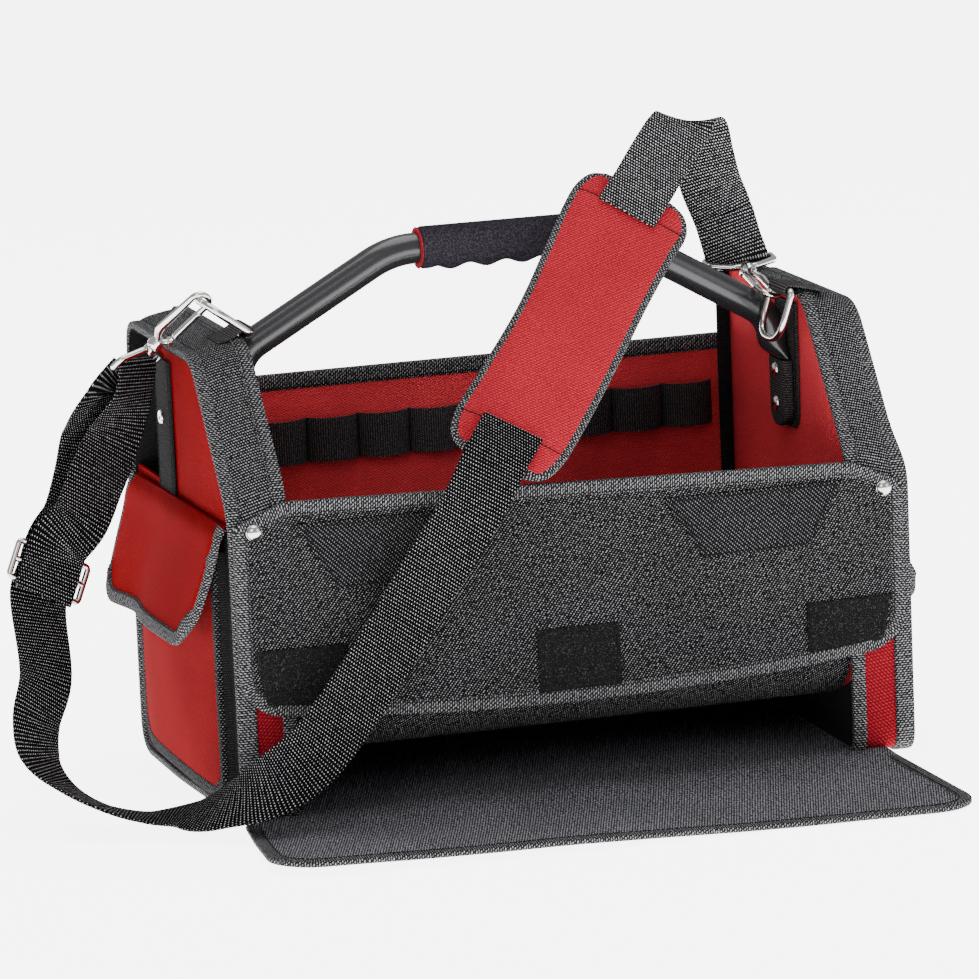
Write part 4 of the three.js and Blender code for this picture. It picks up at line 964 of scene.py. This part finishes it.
def build_flap():
    end = 0.07 * (1 - np.cos(np.linspace(0, math.pi / 2, 11)))
    us = np.r_[end, np.linspace(0.07, 0.93, 60)[1:-1], 1 - end[::-1]]
    u, v = np.meshgrid(us, np.r_[np.linspace(-0.07, 0.07, 12), np.linspace(0.1, 1, 28)], indexing="ij")
    wave = 0.6 * (1 + np.sin(u * 23) * np.sin(v * 7)) * smooth(v, 0, 0.2)
    front, back = flap_place(u, v, CLOTH), flap_place(u, v, 0)
    front[..., 2] += wave + 2.6 * (1 - smooth(v, -0.05, 0.3))
    back[..., 2] += wave * 0.5 + 4.1 * (1 - smooth(v, -0.012, 0.02))
    piece = skin("flap_cloth", two_faced(front, back), GREY_DARK, ["front_flap"], flat=(0, 1))
    forwards = np.linspace(0.03, 1, 21)[:-1]
    backwards = np.linspace(1, 0.03, 21)[1:]
    route_u = np.r_[np.zeros(20), us, np.ones(20)]
    route_v = np.r_[forwards, np.ones(len(us)), backwards]
    edge = resample(flap_place(route_u, route_v, CLOTH / 2 + 0.9), 3.0)
    inward = inward_from(edge, Z_AXIS, flap_place(0.5, 0.4, 0))
    edging("flap_edge", edge, Z_AXIS, inward, nodes=["front_flap_binding"], thick=3.6)
    stitch("flap", edge + inward * (BINDING_WIDTH - 2.2) + Z_AXIS * 1.9, Z_AXIS)


# Handle
STRIP_X = PANEL_X - GAP - TRIM
TAB_HALF_THICK = 2.4
TAB_X = STRIP_X - GAP - TAB_HALF_THICK
NECK_Z = (LEG_END_Z + 38, LEG_END_Z + 56)
TAB_HALF_WIDTH = 13.0
# Columns: height over the tube's end, half width
TAB_TIP = ((0, 5), (0.8, 8), (2.4, 10.5), (5, 12.4), (8, 13), (20, 13), (36, 13))
SLEEVE = {
    "width": 30.0, "surface": TAB_X - TAB_HALF_THICK - 2.6,
    "low": LEG_END_Z - 3, "high": LEG_END_Z + 41,
}
STRIP_LOW = LEG_END_Z - 4
STRIP_HIGH = RIDGE_HEIGHT - 12
TIP = 10.0
TAB_RIVET_HEIGHT = 2.8
GROOVE = {"depth": 1.6, "pitch": 24.0}


def handle_half(side):
    """Rows up one leg of the tube: place out from the middle, height, half width and half thickness"""
    low = vec(LEG_X, LEG_BEND_Z[side])
    high = vec(HANDLE_BEND_X[side], HANDLE_TOP)
    slope = unit(high - low) * BEND_REACH
    tab = [(TAB_X, LEG_END_Z + h, w, TAB_HALF_THICK) for h, w in TAB_TIP]
    share = np.linspace(0, 1, 10)
    eased = smooth(share, 0, 1)
    neck = np.column_stack([
        mix(TAB_X, LEG_X, eased), mix(*NECK_Z, share),
        mix(TAB_HALF_WIDTH, TUBE_RADIUS, eased), mix(TAB_HALF_THICK, TUBE_RADIUS, eased),
    ])
    bends = np.vstack([
        bend(low - vec(0, BEND_REACH), low, low + slope),
        np.linspace(low + slope, high - slope, 12)[1:-1],
        bend(high - slope, high, high - vec(BEND_REACH, 0)),
    ])
    legs = [(x, z, TUBE_RADIUS, TUBE_RADIUS) for x, z in bends if z > NECK_Z[1] + 0.5]
    return np.vstack([tab, neck, legs])


def tipped_webbing(x, heights, narrow, width, thick, power):
    """A band up an end wall, which narrows towards its tip"""
    path = points_at(x, 0, heights)
    profile = superellipse(width, thick, 28, power)
    across = Y_AXIS * profile[None, :, :1] * narrow[:, None, None]
    return path, path[:, None] + across + X_AXIS * profile[None, :, 1:]


def build_tube():
    rows = np.vstack([handle_half("right"), handle_half("left")[::-1] * vec(-1, 1, 1, 1)])
    path = points_at(rows[:, 0], 0, rows[:, 1])
    up = unit(np.cross(Y_AXIS, tangents(path)))
    c, s = circle(24)
    wide = rows[:, 2, None, None] * Y_AXIS * c[None, :, None]
    thick = rows[:, 3, None, None] * up[:, None] * s[None, :, None]
    skin("tube", path[:, None] + wide + thick, PAINT, ["handle_tube"])


def build_grip():
    """Foam grip with finger grooves underneath, between two washers"""
    end = np.array([0, 0.4, 1.2, 2.4])
    x = np.r_[-GRIP_HALF + end, np.linspace(-GRIP_HALF + 4, GRIP_HALF - 4, 90), GRIP_HALF - end[::-1]]
    c, s = circle(36)
    ends = np.minimum(x + GRIP_HALF, GRIP_HALF - x)
    radius = GRIP_RADIUS - 2 * (1 - np.sqrt(np.clip(ends / end[-1], 0, 1)))
    under = np.clip(-s, 0, 1) ** 3
    groove = GROOVE["depth"] * np.cos(x * 2 * math.pi / GROOVE["pitch"] + math.pi) * smooth(ends, 6, 14)
    reach = radius[:, None] + groove[:, None] * under[None, :] - 0.4
    grip = points_at(x[:, None], reach * c, HANDLE_TOP + reach * s)
    skin("grip_foam", grip, FOAM, ["handle_grip"])
    washer = [(0, 0), (GRIP_RADIUS - 1, 0), (GRIP_RADIUS - 0.6, 0.4), (GRIP_RADIUS - 1, 0.8), (0, 0.8)]
    for side, sign in SIDES.items():
        seat = vec(sign * (GRIP_HALF + 0.1), 0, HANDLE_TOP)
        skin(f"grip_washer_{side}", lathe_sections(washer, seat, sign * X_AXIS, Y_AXIS, 32), RED_PAD)


def build_handle_mounts():
    """Webbing strip on each end wall, and a riveted sleeve over the flattened end of the tube"""
    strip_z = np.r_[STRIP_LOW + np.array([0, 1, 3, 6, TIP]), np.linspace(LEG_END_Z + 12, STRIP_HIGH, 20)]
    strip_narrow = 1 - np.clip(1 - (strip_z - STRIP_LOW) / TIP, 0, 1) ** 2 * 0.35
    low, surface = SLEEVE["low"], SLEEVE["surface"]
    sleeve_z = np.r_[low + np.array([0, 0.6, 2, 4, 7, TIP]), np.linspace(low + 14, SLEEVE["high"], 8)]
    sleeve_narrow = np.sqrt(1 - np.clip(1 - (sleeve_z - low) / TIP, 0, 0.95) ** 2)
    for side, sign in SIDES.items():
        out = -sign * X_AXIS
        x = sign * (STRIP_X + TRIM / 2)
        path, rows = tipped_webbing(x, strip_z, strip_narrow, STRAP_WIDTH, TRIM, 9.0)
        skin(f"handle_webbing_{side}", rows, TAPE, [f"handle_strip_{side}"])
        for y in (-17, 17):
            stitch("body", path[3:] + Y_AXIS * y + out * 0.8, out)
        x = sign * (surface + STRIP_X) / 2
        path, rows = tipped_webbing(x, sleeve_z, sleeve_narrow, SLEEVE["width"], STRIP_X - surface, 5.0)
        skin(f"tab_sleeve_{side}", rows, TAPE)
        for level, z in RIVET_HEIGHTS.items():
            seat = vec(sign * (surface + 0.2), 0, z)
            node = f"handle_rivet_{side}_{level}"
            add_rivet(f"tab_rivet_{side}_{level}", seat, out, TAB_RIVET_HEIGHT, node)


# Strap hardware
HARDWARE = {
    "left": {
        "bar": vec(-180, -22, 296), "lean": vec(-0.8, 0, 0.6), "reach": vec(0.563, -0.514, 0.647),
        "on_wire": RING_DEPTH, "along_wire": 0.0, "through": vec(-0.2, 0.95, 0.1),
        "eye_across": vec(0.7, 0.7, -0.15), "strap_up": vec(0.2, -0.03, 0.98),
        "tab_lift": 4.0, "tab_turn": 0.36,
    },
    "right": {
        "bar": vec(175.5, -31.5, 292), "lean": vec(-0.3, 0, -0.954), "reach": vec(-0.02, -0.976, -0.2),
        "on_wire": 6.0, "along_wire": RING_HALF, "through": vec(-0.3, 0, -0.954),
        "eye_across": vec(0.98, 0.15, 0.056), "strap_up": vec(0.26, 0.05, -0.965),
        "tab_lift": 0.4, "tab_turn": 0.5,
    },
}
# Columns: place across, height, radius of the corner
RING_CORNERS = (
    (-RING_HALF, 0, 4), (RING_HALF, 0, 4), (RING_HALF, RING_DEPTH, 16), (-RING_HALF, RING_DEPTH, 16),
)
# Half width of the hook, and heights along it from the eye's bar
HOOK = {"half": 6.0, "boss_high": 28.0, "spine_low": 35.0, "bend": 66.0, "nose": 59.0, "gate_low": 33.5}
HOOK_REACH = HOOK["bend"] + HOOK["half"] - 2 * WIRE - 1
# Columns: radius, height
HOOK_BOSS = [(0, 20.2), (4.2, 20.2), (5, 21), (5, 24.4), (4.5, 25), (4.5, 27), (3.6, 28), (0, 28)]
EYE_COLLAR = [(0, -2), (3.2, -2), (4, -1.2), (4, 2), (3.4, 2.8), (0, 2.8)]
PIN_RADIUS = 2.0
GATE_HALF = 1.7
EYE = {"side": 9.0, "top": 17.0, "neck": 7.0, "round": 3.0}
eyes = {}


def basis(length, normal):
    """Rows of a frame with its length along Z and its plane's normal along Y"""
    up = unit(length)
    across = unit(np.cross(normal, up))
    return np.stack([across, np.cross(up, across), up])


def wire_loop(origin, turned, corners, radius, steps, edge_steps):
    """Sections of a closed wire that lies in the plane of a frame"""
    loop = rounded(corners, steps, edge_steps)
    path = origin + points_at(loop[:, 0], 0, loop[:, 1]) @ turned
    return tube_sections(path, turned[1], radius, 14, True)


def build_ring(side):
    """D-ring in its webbing tab"""
    sign, data = SIDES[side], HARDWARE[side]
    bar, lean = data["bar"], unit(data["lean"])
    turned = basis(lean, np.cross(lean, Y_AXIS))
    ring = wire_loop(bar, turned, RING_CORNERS, WIRE, 12, 8)
    skin(f"ring_{side}", ring, NICKEL, [f"d_ring_{side}"], loop=True)
    turn = WIRE + 0.4 + TRIM / 2
    rim = RIM_FLOOR + GAP + TRIM / 2
    inner_x = HALF_WIDTH - RIM_WIDTH
    top = [(inner_x + a, RIDGE_HEIGHT - RIDGE_DROP[side] * a / RIM_WIDTH + rim + 0.4) for a in (16, 12, 8)]
    wrap = [(abs(bar[0]) + turn * math.cos(a), bar[2] + turn * math.sin(a))
            for a in np.linspace(math.pi * data["tab_turn"], 1.5 * math.pi, 12)]
    lift = RIDGE_HEIGHT + rim + data["tab_lift"]
    route = [*top, (inner_x - 1, lift), *wrap, (inner_x - 1.6, bar[2] - turn)]
    path = np.array([(sign * x, bar[1], z) for x, z in route])
    up = unit(np.cross(Y_AXIS, tangents(path)))
    tab = sweep_sections(path, Y_AXIS, up, superellipse(TAB_WIDTH, TRIM + 0.2, 24, 8.0))
    skin(f"ring_tab_{side}", tab, TAPE, [f"d_ring_tab_{side}"])


def build_eye(side):
    """Swivel eye, set so that the hook on it holds the ring's wire"""
    data = HARDWARE[side]
    reach = unit(data["reach"])
    held = data["bar"] + unit(data["lean"]) * data["on_wire"] + Y_AXIS * data["along_wire"]
    eye = held - reach * HOOK_REACH
    across = unit(data["eye_across"] - reach * (reach @ data["eye_across"]))
    eyes[side] = (eye, across)
    turned = basis(reach, np.cross(reach, across))
    half = STRAP_WIDTH / 2 + WIRE + 0.5
    right_half = [(half, 0), (half, EYE["side"]), (EYE["neck"], EYE["top"])]
    left_half = [(-x, z) for x, z in reversed(right_half)]
    corners = [(x, z, EYE["round"]) for x, z in [*right_half, *left_half]]
    ring = skin_data(wire_loop(eye, turned, corners, WIRE, 8, 6), loop=True)
    collar = skin_data(lathe_sections(EYE_COLLAR, eye + reach * EYE["top"], reach, turned[0], 20))
    make_piece(f"eye_{side}", *join_data(ring, collar), NICKEL, [f"swivel_eye_{side}"])


def build_hook(side):
    eye, reach = eyes[side][0], unit(HARDWARE[side]["reach"])
    turned = basis(reach, HARDWARE[side]["through"])

    def local(points):
        return eye + np.asarray(points, float) @ turned
    hook_half, gate_low = HOOK["half"], HOOK["gate_low"]
    angle = np.linspace(math.pi, 0, 17)
    arc = points_at(hook_half * np.cos(angle), 0, HOOK["bend"] + hook_half * np.sin(angle))
    start = (0, 0, HOOK["boss_high"] - 3)
    lead = [start, (-3.2, 0, 29.5), (-hook_half, 0, HOOK["spine_low"]), (-hook_half, 0, 44)]
    nose = [(hook_half, 0, 62), (hook_half, 0, HOOK["nose"])]
    spine = np.vstack([catmull(lead, np.linspace(0, 1, 16)), arc, nose])
    size = WIRE * (1 - 0.12 * np.linspace(0, 1, len(spine)))
    wide = 1 + 0.5 * smooth(spine[:, 2], 28, 38) * (1 - smooth(spine[:, 2], 52, 64))
    wire = skin_data(tube_sections(local(spine), turned[1], size, wide=wide))
    foot = [start, (hook_half * 0.7, 0, 27.6), (hook_half, 0, gate_low - 3.5), (hook_half, 0, gate_low - GAP)]
    stub = skin_data(tube_sections(local(catmull(foot, np.linspace(0, 1, 10))), turned[1], WIRE - 0.4))
    boss = skin_data(lathe_sections(HOOK_BOSS, eye, reach, turned[0], 22))
    pin_end = [(0, WIRE + 0.7), (PIN_RADIUS - 0.5, WIRE + 0.7), (PIN_RADIUS, WIRE + 0.2)]
    pin = [*[(r, -h) for r, h in pin_end], *reversed(pin_end)]
    pin = skin_data(lathe_sections(pin, local(foot[2]), turned[1], reach, 16))
    make_piece(f"hook_{side}", *join_data(wire, stub, boss, pin), NICKEL, [f"hook_body_{side}"])

    # Gate, which turns with its own body
    gate_high = HOOK["nose"] - GAP
    heights = (gate_low, gate_low + 0.5, gate_low + 1.7, 45, 56, gate_high - 0.5, gate_high)
    widths = (0.45, 0.8, 1, 1, 1, 1, 0.8)
    profile = superellipse(2 * GATE_HALF, 2 * WIRE, 16, 4)
    rows = np.stack([
        local(points_at(hook_half + profile[:, 0] * w, profile[:, 1] * w, h)) for h, w in zip(heights, widths)
    ])
    skin(f"gate_bar_{side}", rows, NICKEL, [f"hook_gate_{side}"], body=f"gate_{side}")


# Shoulder pad, laid over the handle. Columns: place of its middle, half width.
PAD = np.array([
    (88.5, -9, 358.5, 23), (86, -12, 355.2, 32.5), (80, -18, 348, 38), (69, -27, 338, 38),
    (42, -54, 311, 36.2), (15, -82, 284, 35.5), (-18.5, -109.7, 251.2, 36.5),
    (-42, -127, 229, 36), (-50, -133.5, 221, 31), (-53, -136, 218, 22),
])
PAD_ACROSS = unit(vec(0.805, -0.393, -0.444))
PAD_HALF_THICK = 5.0
PAD_SEAMS = (0.11, 0.89)
PAD_EDGE = {"width": 10.0, "thick": 6.4}


def build_pad():
    rows = resample(catmull(PAD, np.linspace(0, 1, 91)), 3.0)
    path, half = rows[:, :3], rows[:, 3]
    out = unit(np.cross(tangents(path), PAD_ACROSS))
    out *= np.sign(out[len(out) // 2] @ vec(0, -1, 1))
    shares = np.sin(np.linspace(-math.pi / 2, math.pi / 2, 25))
    length = np.r_[0, np.cumsum(np.linalg.norm(np.diff(path, axis=0), axis=1))]
    from_end = np.minimum(length, length[-1] - length)

    def place(i, share, way):
        side = (1 - np.abs(share)) * half[i]
        edge = np.minimum(side, from_end[i])
        crown = 0.42 + 0.58 * (1 - np.exp(-edge / 7))
        lift = np.outer(way * PAD_HALF_THICK * crown, out[i])
        return path[i] + np.outer(share * half[i], PAD_ACROSS) + lift
    front = np.stack([place(i, shares, 1) for i in range(len(path))])
    back = np.stack([place(i, shares, -1) for i in range(len(path))])
    piece = skin("pad", two_faced(front, back), RED_PAD, ["shoulder_pad"])
    left = np.hstack([path - PAD_ACROSS * half[:, None], out])
    right = np.hstack([path + PAD_ACROSS * half[:, None], out])
    around = resample(np.vstack([left, right[::-1]]), 3.0, loop=True)
    edge, normal = around[:, :3], unit(around[:, 3:])
    inward = inward_from(edge, normal, path[len(path) // 2], loop=True)
    edging("pad_edge", edge, normal, inward, loop=True, **PAD_EDGE)
    for share in PAD_SEAMS:
        i = int(share * (len(path) - 1))
        stitch("pad", front[i, 3:-3] + out[i] * 0.2, out[i])
    stitch("pad", edge + inward * (BINDING_WIDTH - 2) + normal * 3.3, normal, loop=True)


# Straps. Columns of their tables: place of the middle, direction across.
def strap_rows(table):
    return [(vec(*row[:3]), unit(vec(*row[3:]))) for row in table]


def ribbon(rows, steps=8):
    shares = np.linspace(0, 1, (len(rows) - 1) * steps + 1)
    path = catmull([at for at, _ in rows], shares)
    across = np.array([wide for _, wide in rows])
    index = shares * (len(rows) - 1)
    across = np.stack([np.interp(index, range(len(rows)), across[:, k]) for k in range(3)], 1)
    along = tangents(path)
    across = unit(across - along * np.sum(across * along, 1)[:, None])
    return path, across, np.cross(along, across)


def wrap_rows(side, up, tail, way, sewn=False, swing=0.0):
    """Rows that wrap the bar of an eye, the first swung along X, and the last lying on the first if sewn"""
    centre, across = eyes[side]
    square = unit(up - across * (across @ up))
    out = np.cross(across, square)
    turn = WIRE + 0.9 + CLOTH / 2
    angles = np.linspace(math.pi, 0, 5)
    first, last = centre - up * tail - out * way * turn, centre - up * tail + out * way * turn
    rows = [first + X_AXIS * swing]
    rows += [centre + square * turn * math.sin(a) + out * way * turn * math.cos(a) for a in angles]
    if sewn:
        last = first + out * way * 1.4 * CLOTH
        rows.append(mix(rows[-1], last, 0.5) - out * way * 1.5)
    return [(at, across) for at in [*rows, last]]


STRAP_LOW = strap_rows([
    (-38, -128, 238, -0.8, 0.39, 0.44), (-54, -143, 223, -0.82, 0.3, 0.45),
    (-75, -148, 190, -0.86, 0.1, 0.48), (-102, -149, 154, -0.88, 0.05, 0.46),
    (-128, -151, 117, -0.88, 0.05, 0.46), (-164, -158, 74, -0.8, 0.1, 0.58),
    (-184, -160, 53, -0.55, 0.2, 0.8), (-206, -156, 37, 0.0, 0.35, 0.93),
    (-231, -138, 23, 0.3, 0.75, 0.55), (-253, -110, 11.5, 0.4, 0.85, 0.1),
    (-277, -98, 9.5, 0.3, 0.95, -0.1), (-301, -88, 16, 0.32, 0.93, -0.18),
    (-322, -70, 28.5, 0.6, 0.72, -0.3), (-333, -59, 45.5, 0.76, 0.53, -0.33),
    (-332, -49, 65, 0.82, 0.52, -0.2), (-321, -34, 90, 0.88, 0.42, -0.17),
])
STRAP_RISE = strap_rows([
    (-288.5, 17, 176, 0.95, 0.24, -0.2), (-276, 29, 203, 0.95, 0.26, -0.2), (-269, 33, 229, 0.93, 0.3, -0.1),
])
STRAP_RETURN = strap_rows([
    (-256, 19, 228, 0.92, 0.3, -0.26), (-271, 11, 203, 0.95, 0.24, -0.18), (-285, 4, 179, 0.95, 0.22, -0.2),
])
STRAP_SHORT = strap_rows([
    (74, -27, 349, 0.8, -0.39, -0.45), (90, -14, 362.5, 0.82, -0.36, -0.44),
    (106.5, 1, 377, 0.9, -0.22, -0.36), (123, 14, 391, 0.93, -0.2, -0.28),
    (133, 23, 395.5, 0.95, -0.2, -0.2), (143, 31, 389.5, 0.95, -0.22, 0.0),
    (149.5, 39, 371.5, 0.94, -0.22, 0.12), (156.5, 46, 351, 0.94, -0.2, 0.2),
])
SLIDER = {"centre": vec(-308, -2, 150), "up": unit(vec(0.42, 0.3, 0.85)), "across": vec(0.94, 0.15, -0.3),
          "wire": 2.0, "half": 25.0, "rise": 12.0}
SLIDER_ACROSS = unit(SLIDER["across"] - SLIDER["up"] * (SLIDER["up"] @ SLIDER["across"]))
SLIDER_OUT = np.cross(SLIDER_ACROSS, SLIDER["up"])
SLIDER_RISES = (-17, 0, 17)
LAYER_STEP = SLIDER["wire"] + 0.5 + CLOTH / 2


def slider_row(rise, way):
    return SLIDER["centre"] + SLIDER["up"] * rise + SLIDER_OUT * way * LAYER_STEP, SLIDER_ACROSS


def build_strap(name, rows, node, material):
    path, across, out = ribbon(rows)
    profile = superellipse(STRAP_WIDTH, CLOTH, 40, 12.0)
    piece = skin(name, sweep_sections(path, across, out, profile), material, [node])
    length = np.linalg.norm(np.diff(path, axis=0), axis=1).sum()


def build_straps():
    left_up = unit(HARDWARE["left"]["strap_up"])
    right_up = unit(HARDWARE["right"]["strap_up"])
    rows = [
        *STRAP_LOW,
        *[slider_row(rise, -1) for rise in SLIDER_RISES],
        *STRAP_RISE,
        *wrap_rows("left", left_up, 16, 1, swing=-12.0),
        *STRAP_RETURN,
        *[slider_row(rise, 1) for rise in reversed(SLIDER_RISES)],
    ]
    build_strap("webbing_long", rows, "strap_long", WEBBING)
    rows = [*STRAP_SHORT, *wrap_rows("right", right_up, 30, -1, True)]
    # The short strap takes the lighter copy of the webbing, with the top light painted into its colour
    build_strap("webbing_short", rows, "strap_short", WEBBING_LIT)


def build_slider():
    """Slider between the two layers of the strap"""
    turned = basis(SLIDER["up"], np.cross(SLIDER["up"], SLIDER_ACROSS))
    half, rise = SLIDER["half"], SLIDER["rise"]
    corners = [(-half, -rise, 3), (half, -rise, 3), (half, rise, 3), (-half, rise, 3)]
    ring = skin_data(wire_loop(SLIDER["centre"], turned, corners, SLIDER["wire"], 8, 6), loop=True)
    bar = SLIDER["centre"] + points_at(np.linspace(-half, half, 9), 0, 0) @ turned
    middle = skin_data(tube_sections(bar, turned[1], SLIDER["wire"]))
    make_piece("strap_frame", *join_data(ring, middle), NICKEL, ["strap_slider"])


for end in SIDES:
    for build in (build_rim, build_end_panel, build_cover, build_pocket, build_pocket_flap,
                  build_ring, build_eye, build_hook):
        build(end)
for build in (build_base, build_back, build_linings, build_floor, build_loops, build_front, build_flap,
              build_tube, build_grip, build_handle_mounts, build_pad, build_straps, build_slider):
    build()
finish_stitches()


# Floor and light, in metres and watts
FLOOR = {"half": 30.0, "level": -0.001, "glow": 5.5}
WORLD_LIGHT = 0.6
LIGHT_AIM = Vector((0, 0, 0.15))
# Columns: name, place, size, power
LIGHTS = (
    ("key", (-1.6, -2.6, 2.0), 1.6, 32.0),
    ("fill", (2.2, -2.2, 1.4), 1.6, 15.0),
    ("top", (0.2, 0.2, 2.6), 2.0, 56.0),
)
WHITE = (1, 1, 1, 1)


def add_stage():
    mesh = bpy.data.meshes.new("floor")
    far, level = FLOOR["half"], FLOOR["level"]
    corners = [(-far, -far, level), (far, -far, level), (far, far, level), (-far, far, level)]
    mesh.from_pydata(corners, [], [(0, 1, 2, 3)])
    floor = bpy.data.objects.new("floor", mesh)
    bpy.context.collection.objects.link(floor)
    material = bpy.data.materials.new("pale_floor")
    material.use_nodes = True
    shader = material.node_tree.nodes["Principled BSDF"]
    shader.inputs["Base Color"].default_value = (0.9, 0.9, 0.9, 1)
    shader.inputs["Roughness"].default_value = 0.8
    shader.inputs["Emission Color"].default_value = WHITE
    shader.inputs["Emission Strength"].default_value = FLOOR["glow"]
    mesh.materials.append(material)

    world = bpy.data.worlds.new("studio")
    bpy.context.scene.world = world
    world.use_nodes = True
    background = world.node_tree.nodes["Background"]
    background.inputs["Color"].default_value = WHITE
    background.inputs["Strength"].default_value = WORLD_LIGHT
    for name, place, size, power in LIGHTS:
        light = bpy.data.lights.new(name, "AREA")
        light.size = size
        light.energy = power
        lamp = bpy.data.objects.new(name, light)
        lamp.location = place
        lamp.rotation_euler = (LIGHT_AIM - Vector(place)).to_track_quat("-Z", "Y").to_euler()
        bpy.context.collection.objects.link(lamp)


add_stage()
